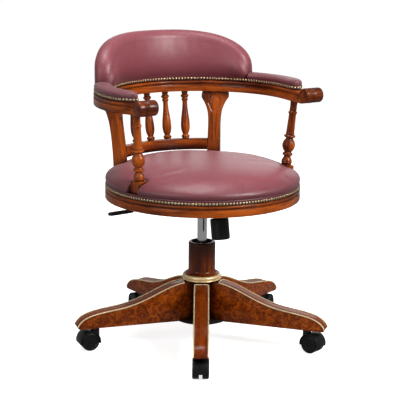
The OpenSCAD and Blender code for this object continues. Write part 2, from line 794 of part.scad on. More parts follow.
module mechanism_housing() {
    half = housing_w / 2;
    hub_wall_r = cylinder_r + cylinder_hub_t;
    slot_half = bolt_r + 1.5;
    slot_back = 8;
    slot_front = 14;
    color(black) difference() {
        union() {
            both_sides() translate([half - housing_t, 0, 0]) housing_wall();
            translate([-half, -housing_front, pan_z])
                cube([housing_w, housing_front + housing_rear, housing_t]);
            translate([-half, -housing_front, wall_top - housing_t])
                cube([housing_w, stop_bar_w, housing_t]);
            translate([0, 0, pan_z - cylinder_hub_drop])
                cylinder(r = hub_wall_r, h = cylinder_hub_drop + cylinder_hub_rise);
            translate([-half, -housing_front, arm_z]) cube([housing_w, stop_bar_w, arm_t]);
            translate([-arm_half_w, -housing_front - arm_l, arm_z])
                cube([2 * arm_half_w, arm_l + 1, arm_t]);
            for (side = [-1, 1])
                translate([-lever_pivot_x - lever_boss_r - 1,
                    lever_back + side * (bracket_half + bracket_t / 2) - bracket_t / 2,
                    lever_z - lever_boss_r])
                    cube([lever_pivot_x + lever_boss_r + 1.5 - half, bracket_t, 2 * lever_boss_r]);
        }
        translate([0, 0, pan_z - cylinder_hub_drop - 1])
            cylinder(r = cylinder_r, h = cylinder_hub_drop + cylinder_hub_rise + 2);
        translate([-housing_w, -pivot_front, pivot_z]) rotate([0, 90, 0])
            cylinder(r = pivot_r, h = 2 * housing_w);
        translate([-slot_half, -knob_front - slot_front, arm_z - 1])
            cube([2 * slot_half, slot_back + slot_front, arm_t + 2]);
        translate([-half - 1, lever_back - bracket_half, lever_bar_z - 3])
            cube([housing_t + 2, 2 * bracket_half, lever_t + 6]);
        translate([-lever_pivot_x, lever_back, lever_z]) rotate([90, 0, 0])
            cylinder(r = lever_pin_r, h = 4 * bracket_half, center = true);
    }
}

module pivot_pins() {
    pin_l = housing_t + ear_gap + plate_t + flat_gap;
    color(steel) {
        both_sides() translate([housing_w / 2 - housing_t, -pivot_front, pivot_z])
            rotate([0, 90, 0]) {
                translate([0, 0, -2]) cylinder(r = pivot_r, h = pin_l + 2);
                translate([0, 0, pin_l]) cylinder(r = pivot_head_r, h = pivot_r);
            }
        translate([-lever_pivot_x, lever_back, lever_z]) rotate([90, 0, 0])
            cylinder(r = lever_pin_r, h = 2 * (bracket_half + bracket_t + 1), center = true);
    }
}

module stop_buffers() {
    color(black) both_sides() translate([buffer_x, stop_bar_y, wall_top])
        cylinder(r = buffer_r, h = buffer_h);
}

// Places children on the knob's axis, with z = 0 at the underside of the front arm
module on_knob_axis() {
    translate([0, -knob_front, arm_z]) rotate([-knob_lean, 0, 0]) children();
}

module tension_bolt() {
    color(steel) {
        difference() {
            on_knob_axis() translate([0, 0, bolt_top - 2 * bolt_head_h])
                cylinder(r = bolt_head_r, h = 2 * bolt_head_h);
            translate([-3 * bolt_head_r, -knob_front - 3 * bolt_head_r, 0])
                cube([6 * bolt_head_r, 6 * bolt_head_r, board_z]);
        }
        on_knob_axis() translate([0, 0, bolt_bottom]) cylinder(r = bolt_r, h = bolt_top - bolt_bottom - 1);
    }
}

module tension_washer() {
    color(steel) on_knob_axis() translate([0, 0, knob_floor + running_fit]) difference() {
        cylinder(r = knob_r - knob_wall - 1, h = washer_t);
        translate([0, 0, -1]) cylinder(r = bolt_r + flat_gap, h = washer_t + 2);
    }
}

module tension_knob() {
    color(black) on_knob_axis() difference() {
        translate([0, 0, knob_bottom]) rotate_extrude()
            polygon([[0, 0], [knob_r - 5, 0], [knob_r - 2, 1], [knob_r, 4], [knob_r, knob_h - 2],
                [knob_r - 2, knob_h], [0, knob_h]]);
        translate([0, 0, knob_floor]) cylinder(r = knob_r - knob_wall, h = knob_hollow_h + 1);
        translate([0, 0, knob_bottom + knob_end_t])
            cylinder(r = bolt_r + running_fit, h = knob_h);
    }
}

// Points along the middle of the spring's wire, eight to a turn
spring_path = [for (j = [0:8 * spring_turns]) [spring_r * cos(45 * j), spring_r * sin(45 * j),
    spring_bottom + (spring_top - spring_bottom) * j / (8 * spring_turns)]];

// Least gap between the spring's turns, over all points half a turn or more apart
spring_gap = min([for (i = [0:len(spring_path) - 5], j = [i + 4:len(spring_path) - 1])
    norm(spring_path[i] - spring_path[j])]) - 2 * spring_wire_r;
echo(spring_gap_mm = spring_gap);

module tension_spring() {
    sides = 6;
    color(steel) on_knob_axis() skin([for (j = [0:len(spring_path) - 1])
        [for (k = [0:sides - 1]) let (a = 45 * j, b = -360 * k / sides, out = spring_wire_r * cos(b))
            spring_path[j] + [out * cos(a), out * sin(a), spring_wire_r * sin(b)]]]);
}

module seat_plate() {
    ear_h = plate_z - pivot_z;
    color(black) difference() {
        union() {
            translate([-plate_w / 2, -plate_front, plate_z])
                cube([plate_w, plate_front + plate_rear, plate_t]);
            both_sides() translate([ear_x, -pivot_front, 0]) {
                translate([0, -ear_half_w, pivot_z]) cube([plate_t, 2 * ear_half_w, ear_h + 1]);
                translate([0, 0, pivot_z]) rotate([0, 90, 0]) cylinder(r = ear_half_w, h = plate_t);
            }
        }
        translate([-housing_w, -pivot_front, pivot_z]) rotate([0, 90, 0])
            cylinder(r = pivot_r + running_fit, h = 2 * housing_w);
        on_knob_axis() cylinder(r = bolt_r, h = 2 * bolt_top);
        plate_screw_places() translate([0, 0, plate_z - 1]) cylinder(r = screw_r, h = plate_t + 2);
    }
}

module plate_screw_places() {
    x = plate_w / 2 - plate_screw_inset;
    for (sx = [-1, 1], y = [plate_screw_inset - plate_front, plate_rear - plate_screw_inset])
        translate([sx * x, y, 0]) children();
}

module plate_screws() {
    color(steel) plate_screw_places() translate([0, 0, plate_z]) {
        cylinder(r = screw_r, h = plate_t + plate_screw_l);
        translate([0, 0, -screw_head_h]) cylinder(r = screw_head_r, h = screw_head_h);
    }
}

// Lift lever

module lift_lever() {
    color(black) translate([-lever_pivot_x, lever_back, 0]) difference() {
        union() {
            translate([0, -lever_w / 2, lever_bar_z])
                cube([lever_pivot_x + button_r, lever_w, lever_t]);
            translate([0, 0, lever_z]) rotate([90, 0, 0])
                cylinder(r = lever_boss_r, h = lever_w, center = true);
            translate([0, 0, lever_z]) rotate([0, -lever_droop, 0])
                translate([-lever_outer_l + 2, -lever_w / 2, -lever_t / 2])
                cube([lever_outer_l - 2, lever_w, lever_t]);
        }
        translate([0, 0, lever_z]) rotate([90, 0, 0])
            cylinder(r = lever_pin_r + running_fit, h = lever_bore_h, center = true);
    }
}

module lever_grip() {
    round_r = lever_grip_w / 2;
    color(black) translate([-lever_pivot_x, lever_back, lever_z]) rotate([0, -lever_droop, 0])
        difference() {
            union() {
                translate([-lever_outer_l + round_r, 0, -lever_grip_t / 2])
                    cylinder(r = round_r, h = lever_grip_t);
                translate([-lever_outer_l + round_r, -round_r, -lever_grip_t / 2])
                    cube([lever_grip_l - round_r, lever_grip_w, lever_grip_t]);
            }
            translate([-lever_outer_l + 2, -lever_w / 2, -lever_t / 2])
                cube([lever_outer_l, lever_w, lever_t]);
        }
}

// Seat

module seat_frame() {
    color(walnut) difference() {
        translate([0, 0, rim_z]) rotate_extrude($fn = 128) polygon(concat(
            [[rim_in_r - rim_ledge, 0]],
            moulding(seat_r, 1),
            [[rebate_r, moulding_h], [rebate_r, rim_h], [rim_in_r, rim_h],
             [rim_in_r, board_z - rim_z], [rim_in_r - rim_ledge, board_z - rim_z]]));
        front_post_places() translate([0, 0, -tenon_l]) cylinder(r = tenon_r, h = 2 * tenon_l);
        rear_post_place(1) translate([0, 0, -tenon_l]) cylinder(r = tenon_r, h = 2 * tenon_l);
        rear_post_place(-1) translate([0, 0, -tenon_l]) cylinder(r = tenon_r, h = 2 * tenon_l);
    }
}

module seat_board() {
    color("#b08d5e") difference() {
        translate([0, 0, board_z]) cylinder(r = rim_in_r, h = board_t, $fn = 128);
        translate([0, (board_z - arm_z) * tan(knob_lean) - knob_front, board_z - 1])
            cylinder(r = bolt_head_r + 4, h = board_t + 2);
        plate_screw_places() translate([0, 0, board_z - 1])
            cylinder(r = screw_r, h = plate_screw_l + 1);
        front_post_places() translate([0, 0, -tenon_l]) cylinder(r = tenon_r, h = 2 * tenon_l);
    }
}

// Height of the cushion's top over the rim at a radius inside its round edge
function crown(r) = cushion_edge_h + crown_h * (1 - pow(r / (cushion_r - cushion_edge_w), 2));

module seat_cushion() {
    skirt_drop = rim_h - moulding_h - soft_gap;
    skirt_out = skirt_r + skirt_t;
    edge_r = cushion_r - cushion_edge_w;
    belly = cushion_edge_h * 0.4;
    color(oxblood) difference() {
        translate([0, 0, rim_top]) rotate_extrude($fn = 96) polygon(concat(
            [[0, soft_gap], [skirt_r, soft_gap], [skirt_r, -skirt_drop], [skirt_out, -skirt_drop]],
            [for (i = [0:4]) [skirt_out + cushion_bulge * sin(90 * i / 4), belly * i / 4]],
            [for (a = [15:15:90]) [edge_r + cushion_edge_w * cos(a),
                belly + (cushion_edge_h - belly) * sin(a)]],
            [for (i = [5:-1:0]) [edge_r * i / 6, crown(edge_r * i / 6)]]));
        intersection() {
            front_post_places() rotate([0, 0, -block_turn])
                translate([-block_w / 2 - notch_gap, -block_w / 2 - notch_gap, -block_h])
                cube([3 * block_w, block_w + 2 * notch_gap, 4 * block_h]);
            translate([0, 0, rim_top]) cylinder(r = 2 * seat_r, h = 3 * block_h);
        }
        for (side = [-1, 1]) rear_post_place(side)
            translate([-rear_foot_w / 2 - notch_gap, -rear_post_t / 2 - notch_gap, 0])
            cube([rear_foot_w + 2 * notch_gap, 3 * rear_post_t, 3 * block_h]);
    }
}

// Posts

// Places children at the foot of each front post, with +Z up the post
module front_post_places() {
    both_sides() translate([front_post_r * cos(front_post_angle),
        -front_post_r * sin(front_post_angle), rim_top])
        rotate([front_lean_fwd, front_lean_out, 0]) children();
}

// Places children at the foot of a rear post, with +Y outwards; side is 1 for the left
module rear_post_place(side) {
    rotate([0, 0, -side * rear_post_angle]) translate([0, rear_post_r, rim_top]) children();
}

module between_rim_and_rail(z0) {
    intersection() {
        children();
        translate([0, 0, z0]) cylinder(r = 2 * seat_r, h = rail_z - z0);
    }
}

// Outline of a front post above its block
function front_post_profile() =
    let (flare_top = block_h + post_flare_h,
        bead_top = flare_top + post_ring_h,
        bulb_top = bead_top + post_bulb_h - post_ring_h,
        ring_top_h = bulb_top + 2 + post_ring_h,
        collar = front_post_l - post_collar_drop)
    concat(
        [[post_flare_r - 2, block_h - 1], [post_flare_r - 2, block_h + 3]],
        [for (p = curve([post_flare_r, block_h + 5], [post_flare_r, block_h + 14],
            [post_neck_r, flare_top - 10], [post_neck_r, flare_top], 6)) p],
        bulge(flare_top + 1, bead_top - 1, post_neck_r + 1, post_flare_r - 1, 4),
        bulge(bead_top, bulb_top, post_neck_r, post_bulb_r, 8),
        bulge(bulb_top + 2, ring_top_h, post_neck_r, post_ring_r, 6),
        [[post_shaft_r, ring_top_h + 2]],
        [[post_top_r + 1.2, collar - 4]],
        bulge(collar - 3, collar + 3, post_top_r + 1, post_collar_r, 4),
        [[post_top_r, collar + 6], [post_top_r, front_post_l + 4]]);

module front_posts() {
    color(walnut) {
        between_rim_and_rail(rim_top) front_post_places() {
            turned(front_post_profile());
            rotate([0, 0, -block_turn]) translate([-block_w / 2, -block_w / 2, -6])
                cube([block_w, block_w, block_h + 6]);
        }
        front_post_places() translate([0, 0, -tenon_l]) cylinder(r = tenon_r, h = tenon_l + 2);
    }
}

// How far a rear post has swept outwards at a height over the rim
function sweep_at(h) = (rail_r - rear_post_r) * pow(h / arm_gap, rear_sweep);

// Outline of a rear post from the front, deeper than the post and its rails
module rear_post_front() {
    foot = rear_foot_w / 2;
    waist = rear_waist_w / 2;
    head = rear_head_w / 2;
    head_z = arm_gap - rear_head_h;
    rise = head_z - rear_waist_h;
    shoulder = curve([waist, rear_waist_h], [waist, rear_waist_h + rise / 2],
        [waist + (head - waist) / 7, head_z - rise / 3], [head, head_z], 10);
    edge = concat([[foot, 0]], shoulder, [[head - 1, arm_gap]]);
    rotate([90, 0, 0]) linear_extrude(post_cut, center = true)
        polygon(concat(edge, [for (i = [len(edge) - 1:-1:0]) [-edge[i][0], edge[i][1]]]));
}

module rear_post(side) {
    heights = [for (i = [0:10]) arm_gap * i / 10];
    half_t = rear_post_t / 2;
    color(walnut) rear_post_place(side) {
        intersection() {
            rear_post_front();
            rotate([90, 0, 90]) linear_extrude(post_cut, center = true)
                polygon(concat([for (h = heights) [sweep_at(h) + half_t, h]],
                    [for (i = [10:-1:0]) [sweep_at(heights[i]) - half_t, heights[i]]]));
        }
        translate([0, 0, -tenon_l]) cylinder(r = tenon_r, h = tenon_l + 2);
    }
}

module lower_rail() {
    half = rear_post_angle;
    color(walnut) difference() {
        rotate([0, 0, 90 - half]) translate([0, 0, lower_rail_z])
            rotate_extrude(angle = 2 * half, $fn = 128)
            translate([lower_rail_r - lower_rail_t / 2, 0]) square([lower_rail_t, lower_rail_h]);
        rear_post_place(1) rear_post_front();
        rear_post_place(-1) rear_post_front();
    }
}

module spindle_shape() {
    foot_ring = 13;
    belly_h = 42;
    collar_h = spindle_l - 16;
    neck_h = collar_h - 18;
    turned(concat(
        [[spindle_ring_r - 3, -4], [spindle_ring_r - 3, 4]],
        bulge(4, foot_ring, spindle_ring_r - 3.5, spindle_ring_r, 4),
        curve([spindle_neck_r + 1, foot_ring + 2], [spindle_belly_r + 1, foot_ring + 14],
            [spindle_belly_r + 0.4, belly_h - 10], [spindle_belly_r, belly_h], 5),
        curve([spindle_belly_r - 0.3, belly_h + 4], [spindle_belly_r - 1, belly_h + 20],
            [spindle_neck_r, neck_h - 22], [spindle_neck_r, neck_h], 7),
        bulge(neck_h + 1, collar_h - 4, spindle_neck_r, spindle_neck_r + 2.4, 4),
        bulge(collar_h - 3, collar_h + 3, spindle_neck_r, spindle_collar_r, 4),
        [[spindle_neck_r + 0.6, collar_h + 5], [spindle_neck_r - 1, spindle_l + 12]]));
}

module spindles() {
    color(walnut) between_rim_and_rail(lower_rail_top) for (i = [0:spindle_n - 1])
        rotate([0, 0, spindle_step * (i - (spindle_n - 1) / 2)])
        translate([0, lower_rail_r, lower_rail_top]) rotate([-spindle_lean, 0, 0]) spindle_shape();
}

// Arm rail and its grips

// Cross-section of the arm rail, as points [across, up]
function rail_section() = let (right = moulding(rail_w / 2, 1))
    concat(right, [for (i = [len(right) - 1:-1:0]) [-right[i][0], right[i][1]]]);

// How far an arm's outer face has drawn in at a distance s along its front stretch
function drawn_in(s) = arm_taper * (1 - cos(180 * min(1, s / arm_taper_l))) / 2;

// Point of an arm or its pad at a distance s along the front stretch, across and up as in the section
function along_front(s, across, up) = let (p = arm_bend + s * arm_dir,
        x = across * (1 - drawn_in(s) / rail_w) - drawn_in(s) / 2)
    [p[0] + x * cos(arm_toe), p[1] - x * sin(arm_toe), up];

module arm_rail() {
    color(walnut) difference() {
        union() {
            translate([0, 0, rail_z]) rotate([0, 0, -arm_toe])
                rotate_extrude(angle = 180 + 2 * arm_toe, $fn = 128)
                translate([rail_r, 0]) polygon(rail_section());
            both_sides() skin(concat(
                [[for (p = rail_section())
                    along_front(-2, -0.97 * p[0], rail_z + 0.0075 * moulding_h + 0.985 * p[1])]],
                [for (s = [0.2, arm_taper_l / 4, arm_taper_l / 2, 0.75 * arm_taper_l, arm_front_l])
                    [for (p = rail_section()) along_front(s, -p[0], rail_z + p[1])]]));
        }
        grip_places() cylinder(r = grip_r, h = 2 * grip_l, center = true);
    }
}

module grip_places() {
    for (side = [-1, 1]) translate([side * grip_pos[0], grip_pos[1], grip_z])
        rotate([0, 90, 0]) children();
}

module arm_grips() {
    half = grip_l / 2;
    ring = grip_ring_at - half;
    waist = grip_r - grip_groove_d;
    end = [for (a = [0:22.5:90])
        [grip_r - grip_edge * (1 - cos(a)), half - grip_edge * (1 - sin(a))]];
    color(dark_walnut) grip_places() turned(concat(
        [for (i = [len(end) - 1:-1:0]) [end[i][0], -end[i][1]]],
        [[grip_r, ring - 5], [waist, ring - 3.5], [waist, ring - 2.5]],
        bulge(ring - 2.2, ring + 2.2, waist + 0.4, grip_r, 6),
        [[waist, ring + 2.5], [waist, ring + 3.5], [grip_r, ring + 5]], end), 64);
}

// Pads

// Cross-section of an arm pad, shrunk to w across and h high, as points [across, up]
function pad_ring(w, h) = concat(
    [[w * pad_half, 0], [w * pad_half, h * pad_side_h]],
    [for (a = [10:20:170]) [w * (pad_half + pad_bulge) * cos(a),
        h * (pad_side_h + 2 + (pad_h - pad_side_h - 2) * pow(sin(a), 0.8))]],
    [[-w * pad_half, h * pad_side_h], [-w * pad_half, 0]]);

// Point of a pad at an angle from straight behind, across and up as in the section
function along_arm(angle, across, up) = [(rail_r + across) * sin(angle), (rail_r + across) * cos(angle), up];

module arm_pads() {
    z = rail_top + soft_gap;
    start = back_pad_angle + pad_gap / rail_r * 180 / PI;
    last = 90 + arm_toe;
    arc = [for (i = [0:6]) let (a = start + (last - start) * i / 6)
        [for (p = pad_ring(1, 1)) along_arm(a, -p[0], z + p[1])]];
    front = [for (k = [0.5, 1]) [for (p = pad_ring(1, 1))
        along_front(k * (pad_front - pad_nose_l), -p[0], z + p[1])]];
    tip = [for (b = [15, 30, 45, 60, 74, 85]) let (s = pad_front - pad_nose_l * (1 - sin(b)), w = cos(b))
        [for (p = pad_ring(w, 0.25 + 0.75 * pow(w, 0.5))) along_front(s, -p[0], z + p[1])]];
    color(oxblood) both_sides() skin(concat(arc, front, tip));
}

// Height of the back pad at an angle from straight behind
function back_h(a) = back_pad_end_h
    + (back_pad_h - back_pad_end_h) * sqrt(1 - pow(min(1, abs(a) / back_pad_angle), 3));

// Share of the back pad's full thickness at an angle, less towards its round ends
function back_t(a) = let (d = max(0, abs(a) - back_pad_angle + back_pad_round) / back_pad_round)
    0.35 + 0.65 * sqrt(1 - pow(min(1, d), 2));

// Cross-section of the back pad h high, as points [across, up] from its front foot over the top
function back_ring(w, h) = let (half = pad_half + pad_bulge,
        cap = min(half, 0.6 * (h - pad_side_h)), side_l = h - cap - pad_side_h)
    concat([[-w * pad_half, 0], [-w * pad_half, pad_side_h]],
        [for (k = [0.3, 0.65]) [-w * half, pad_side_h + k * side_l]],
        [for (a = [0:22.5:180]) [-w * half * cos(a), h - cap + cap * sin(a)]],
        [for (k = [0.65, 0.3]) [w * half, pad_side_h + k * side_l]],
        [[w * pad_half, pad_side_h], [w * pad_half, 0]]);

module back_pad() {
    z = rail_top + soft_gap;
    middle = back_pad_angle - back_pad_round;
    angles = concat(
        [for (b = [90, 72, 54, 36, 18]) -middle - back_pad_round * sin(b)],
        [for (i = [0:16]) middle * (i / 8 - 1)],
        [for (b = [18, 36, 54, 72, 90]) middle + back_pad_round * sin(b)]);
    color(oxblood) skin([for (a = angles)
        [for (p = back_ring(back_t(a), back_h(a))) along_arm(a, p[0], z + p[1])]]);
}

base_hub();
leg(1);  // leg_1
leg(2);  // leg_2
leg(3);  // leg_3
leg(4);  // leg_4
leg(5);  // leg_5
base_plate();
base_screws();
column_ring();
column_sleeve();
column_tube();
guide_bush();
caster_sockets();
piston_rod();
rod_clips();
gas_cylinder();
mechanism_housing();
pivot_pins();
stop_buffers();
tension_spring();
valve_button();
lift_lever();
lever_grip();
seat_plate();
plate_screws();
tension_bolt();
seat_frame();
seat_board();
seat_cushion();
front_posts();
rear_post(1);  // rear_post_left
rear_post(-1);  // rear_post_right
lower_rail();
spindles();
arm_rail();
arm_grips();
arm_pads();
back_pad();
tension_washer();
tension_knob();
for (i = [1:5]) {
    caster_yoke(i);
    caster_pins(i);
    caster_wheel(i, 1);
    caster_wheel(i, -1);
}
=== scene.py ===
import math

import bmesh
import bpy
import numpy as np
from mathutils import Matrix, Vector


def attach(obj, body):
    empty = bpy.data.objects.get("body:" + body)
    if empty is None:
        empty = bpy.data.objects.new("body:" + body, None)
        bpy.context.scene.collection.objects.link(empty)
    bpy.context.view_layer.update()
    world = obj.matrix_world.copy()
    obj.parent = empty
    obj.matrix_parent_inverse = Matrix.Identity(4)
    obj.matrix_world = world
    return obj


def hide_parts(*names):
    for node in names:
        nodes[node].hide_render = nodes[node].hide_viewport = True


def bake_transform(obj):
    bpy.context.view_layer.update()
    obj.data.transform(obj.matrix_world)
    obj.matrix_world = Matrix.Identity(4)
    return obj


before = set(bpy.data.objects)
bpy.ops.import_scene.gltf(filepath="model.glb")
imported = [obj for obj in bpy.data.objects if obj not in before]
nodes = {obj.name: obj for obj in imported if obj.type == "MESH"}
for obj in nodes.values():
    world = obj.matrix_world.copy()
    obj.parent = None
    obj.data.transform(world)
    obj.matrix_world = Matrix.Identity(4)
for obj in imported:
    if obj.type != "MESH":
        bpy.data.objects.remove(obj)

scene = bpy.context.scene
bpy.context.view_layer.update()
print("chair: frame loaded,", len(nodes), "nodes")


# the camera, fitted to the photograph
camera = {"distance": 3.6, "height": 1.2152, "yaw": 31.6, "pitch": 12.6056, "aim": -0.1092,
          "roll": 0.568, "focalPixels": 1301.934, "widthPixels": 400, "sensor": 36, "reach": 60}


def placeCamera(c):
    aim, pitch, roll = (math.radians(c[k]) for k in ("aim", "pitch", "roll"))
    forward = Vector((math.sin(aim) * math.cos(pitch), math.cos(aim) * math.cos(pitch), -math.sin(pitch)))
    side = Vector((math.cos(aim), -math.sin(aim), 0))
    up = side.cross(forward)
    rolledSide = side * math.cos(roll) + up * math.sin(roll)
    rolledUp = up * math.cos(roll) - side * math.sin(roll)
    turn = Matrix.Rotation(-math.radians(c["yaw"]), 3, "Z")
    axes = Matrix([turn @ rolledSide, turn @ rolledUp, turn @ -forward]).transposed().to_4x4()
    data = bpy.data.cameras.new("photoCamera")
    data.sensor_width = c["sensor"]
    data.lens = c["focalPixels"] / c["widthPixels"] * c["sensor"]
    data.clip_end = c["reach"]
    cam = bpy.data.objects.new("photoCamera", data)
    cam.matrix_world = Matrix.Translation(turn @ Vector((0, -c["distance"], c["height"]))) @ axes
    scene.collection.objects.link(cam)
    scene.camera = cam


placeCamera(camera)

studio = {"worldStrength": 0.28, "aimHeight": 0.45, "floorGlow": 0.74, "floorRadius": 60, "wallHeight": 45}
lamps = {
    "keyLight": {"place": (1.1, -2.6, 2.3), "size": (0.9, 0.9), "power": 91, "colour": (1, 0.98, 0.95)},
    "fillLight": {"place": (-3.0, -0.9, 1.7), "size": (1.6, 1.6), "power": 25, "colour": (0.96, 0.98, 1)},
    "topLight": {"place": (-0.2, 0.1, 3.1), "size": (1.3, 1.3), "power": 42, "colour": (1, 1, 1)},
    "rimLight": {"place": (1.9, 2.4, 1.3), "size": (2.2, 1.3), "power": 11, "colour": (1, 1, 1)},
}


def addSoftLight(name, lamp):
    data = bpy.data.lights.new(name, "AREA")
    data.shape = "RECTANGLE"
    data.size, data.size_y = lamp["size"]
    data.energy, data.color = lamp["power"], lamp["colour"]
    place = Vector(lamp["place"])
    toChair = Vector((0, 0, studio["aimHeight"])) - place
    light = bpy.data.objects.new(name, data)
    light.matrix_world = Matrix.Translation(place) @ toChair.to_track_quat("-Z", "Y").to_matrix().to_4x4()
    light.visible_camera = False
    scene.collection.objects.link(light)


for name, lamp in lamps.items():
    addSoftLight(name, lamp)

world = bpy.data.worlds.new("paleStudio")
world.use_nodes = True
world.node_tree.nodes["Background"].inputs[0].default_value = (1, 1, 1, 1)
world.node_tree.nodes["Background"].inputs[1].default_value = studio["worldStrength"]
scene.world = world
scene.view_settings.view_transform = "Standard"


# a shader socket that takes + - * and ** like a number
class Tone:
    def __init__(self, ink, socket):
        self.ink, self.socket = ink, socket

    def sum(self, op, a, b):
        return self.ink.node("ShaderNodeMath", {"operation": op}, {0: a, 1: b})

    def __add__(self, other):
        return self.sum("ADD", self, other)

    def __radd__(self, other):
        return self.sum("ADD", other, self)

    def __sub__(self, other):
        return self.sum("SUBTRACT", self, other)

    def __rsub__(self, other):
        return self.sum("SUBTRACT", other, self)

    def __mul__(self, other):
        return self.sum("MULTIPLY", self, other)

    def __rmul__(self, other):
        return self.sum("MULTIPLY", other, self)

    def __pow__(self, other):
        return self.sum("POWER", self, other)


# a material being written: node() adds a node and gives one of its outputs
class Ink:
    def __init__(self, name):
        self.material = bpy.data.materials.new(name)
        self.material.use_nodes = True
        self.tree = self.material.node_tree
        self.shader = self.tree.nodes["Principled BSDF"]

    def node(self, kind, settings=None, values=None, out=0):
        made = self.tree.nodes.new(kind)
        for key, value in (settings or {}).items():
            if key == "stops":
                ramp = made.color_ramp
                while len(ramp.elements) < len(value):
                    ramp.elements.new(0.5)
                for stop, (place, colour) in zip(ramp.elements, value):
                    stop.position, stop.color = place, (*colour, 1)
            else:
                setattr(made, key, value)
        for key, value in (values or {}).items():
            if isinstance(value, Tone):
                self.tree.links.new(value.socket, made.inputs[key])
            else:
                made.inputs[key].default_value = value
        return Tone(self, made.outputs[out])

    def spot(self):  # Object coordinates
        return self.node("ShaderNodeTexCoord", out=3)

    def stretched(self, stretch):
        return self.node("ShaderNodeMapping", {}, {"Vector": self.spot(), "Scale": stretch})

    def part(self, vector, k):
        return self.node("ShaderNodeSeparateXYZ", {}, {0: vector}, out=k)

    def noise(self, where, scale, detail=4.0, rough=0.55, warp=0.0):
        return self.node("ShaderNodeTexNoise", {}, {"Vector": where, "Scale": scale, "Detail": detail,
                                                    "Roughness": rough, "Distortion": warp})

    def cells(self, where, scale, feature="F1"):
        return self.node("ShaderNodeTexVoronoi", {"feature": feature}, {"Vector": where, "Scale": scale})

    def span(self, value, low, high, to0=0.0, to1=1.0):
        return self.node("ShaderNodeMapRange", {}, {0: value, 1: low, 2: high, 3: to0, 4: to1})

    def ramp(self, value, stops):
        return self.node("ShaderNodeValToRGB", {"stops": stops}, {0: value})

    def mix(self, share, a, b):
        first, second = (c if isinstance(c, Tone) else (*c, 1) for c in (a, b))
        return self.node("ShaderNodeMix", {"data_type": "RGBA"}, {0: share, 6: first, 7: second}, out=2)

    def crevice(self, reach):
        return self.node("ShaderNodeAmbientOcclusion", {"samples": 6}, {"Distance": reach}, out=1)

    def bump(self, height, strength, depth):
        return self.node("ShaderNodeBump", {}, {"Strength": strength, "Distance": depth, "Height": height})

    def finish(self, **values):
        for key, value in values.items():
            socket = self.shader.inputs[key.replace("_", " ")]
            if isinstance(value, Tone):
                self.tree.links.new(value.socket, socket)
            else:
                socket.default_value = (*value, 1) if isinstance(value, tuple) else value
        return self.material


# the chair's finishes
# the wood's near-black colour and the reach under it paint shade into recesses and near joints, partly glaze
# in the hollows
wood = {"dark": (0.026, 0.0040, 0.0008), "mid": (0.108, 0.0138, 0.0010), "light": (0.405, 0.080, 0.0050),
        "red": (0.120, 0.014, 0.0020), "deep": (0.040, 0.0065, 0.0018), "glaze": (0.010, 0.0026, 0.001),
        "bright": 1.35, "along": 0.08, "around": 0.022, "broad": 26, "lines": 190, "pores": 900, "cloud": 9,
        "swirl": 95, "eyes": 50, "dirtReach": 0.026, "gloss": 0.24, "shine": 0.2, "coatRough": 0.09}


# Stained and varnished wood. run is the way of its grain: z, x along a turn, or round. burl is the share
# of burr figure on upright faces, and the height range, if given, is where the wood darkens upwards as
# painted shade.
def polishedWood(name, run="z", turn=0.0, burl=0.0, deep=0.0, shadeRange=None, coat=0.14):
    ink = Ink(name)
    spot = ink.spot()
    if run == "round":
        x, y, z = (ink.part(spot, k) for k in range(3))
        radius = (x * x + y * y) ** 0.5
        angle = ink.node("ShaderNodeMath", {"operation": "ARCTAN2"}, {0: x, 1: y})
        where = ink.node("ShaderNodeCombineXYZ", {}, {0: angle * wood["around"], 1: radius, 2: z})
    else:
        stretch = (1, 1, wood["along"]) if run == "z" else (wood["along"], 1, 1)
        straight = ink.node("ShaderNodeVectorRotate", {"rotation_type": "Z_AXIS"},
                            {"Vector": spot, "Angle": math.radians(-turn)})
        where = ink.node("ShaderNodeMapping", {}, {"Vector": straight, "Scale": stretch})
    broad = ink.noise(where, wood["broad"], 3, 0.5, 1.2)
    lines = ink.noise(where, wood["lines"], 5, 0.62, 0.6)
    pores = ink.noise(where, wood["pores"], 2, 0.5)
    cloud = ink.noise(spot, wood["cloud"], 2)
    figure = broad * 0.55 + lines * 0.33 + cloud * 0.22
    if burl:
        swirl = ink.noise(spot, wood["swirl"], 6, 0.7, 2.6)
        eyes = ink.cells(ink.noise(spot, wood["eyes"], 3, 0.6, 1.0) * 6, 1.6)
        facing = ink.part(ink.node("ShaderNodeTexCoord", out=1), 2)
        upright = ink.span(facing * facing, 0.03, 0.22, 1, 0)
        figure = figure * (1 - upright * burl) + (swirl * 0.62 + eyes * 0.22 + 0.132) * upright * burl
    colour = ink.ramp(figure, [(0.33, wood["dark"]), (0.48, wood["mid"]), (0.61, wood["light"]),
                               (0.74, tuple(v * wood["bright"] for v in wood["light"]))])
    colour = ink.mix(ink.span(pores, 0.55, 0.75, 0, 0.55), colour, wood["dark"])
    if burl:
        colour = ink.mix((1 - upright) * 0.62, colour, wood["red"])
    # painted shade: darker towards the top of the range, under what stands over the piece
    if shadeRange:
        colour = ink.mix(ink.span(ink.part(spot, 2), *shadeRange, 0.0, 0.85), colour, wood["deep"])
    # darkens the whole piece: the grips' own darker wood, and painted shade on the hub and the sleeve
    if deep:
        colour = ink.mix(deep, colour, wood["deep"])
    # painted shade: near black where ambient occlusion finds recesses and joints, partly glaze in the hollows
    colour = ink.mix(ink.span(ink.crevice(wood["dirtReach"]), 0.35, 0.94, 0.9, 0.0), colour, wood["glaze"])
    rubbed = ink.noise(spot, 14, 3)
    rough = wood["gloss"] + ink.span(rubbed, 0.35, 0.7, -0.05, 0.12) + pores * 0.06
    skin = ink.bump(pores * 0.5 + lines * 0.35, 0.12, 0.0004)
    return ink.finish(Base_Color=colour, Roughness=rough, Normal=skin, Coat_Weight=coat,
                      Coat_Roughness=wood["coatRough"], Specular_IOR_Level=wood["shine"])


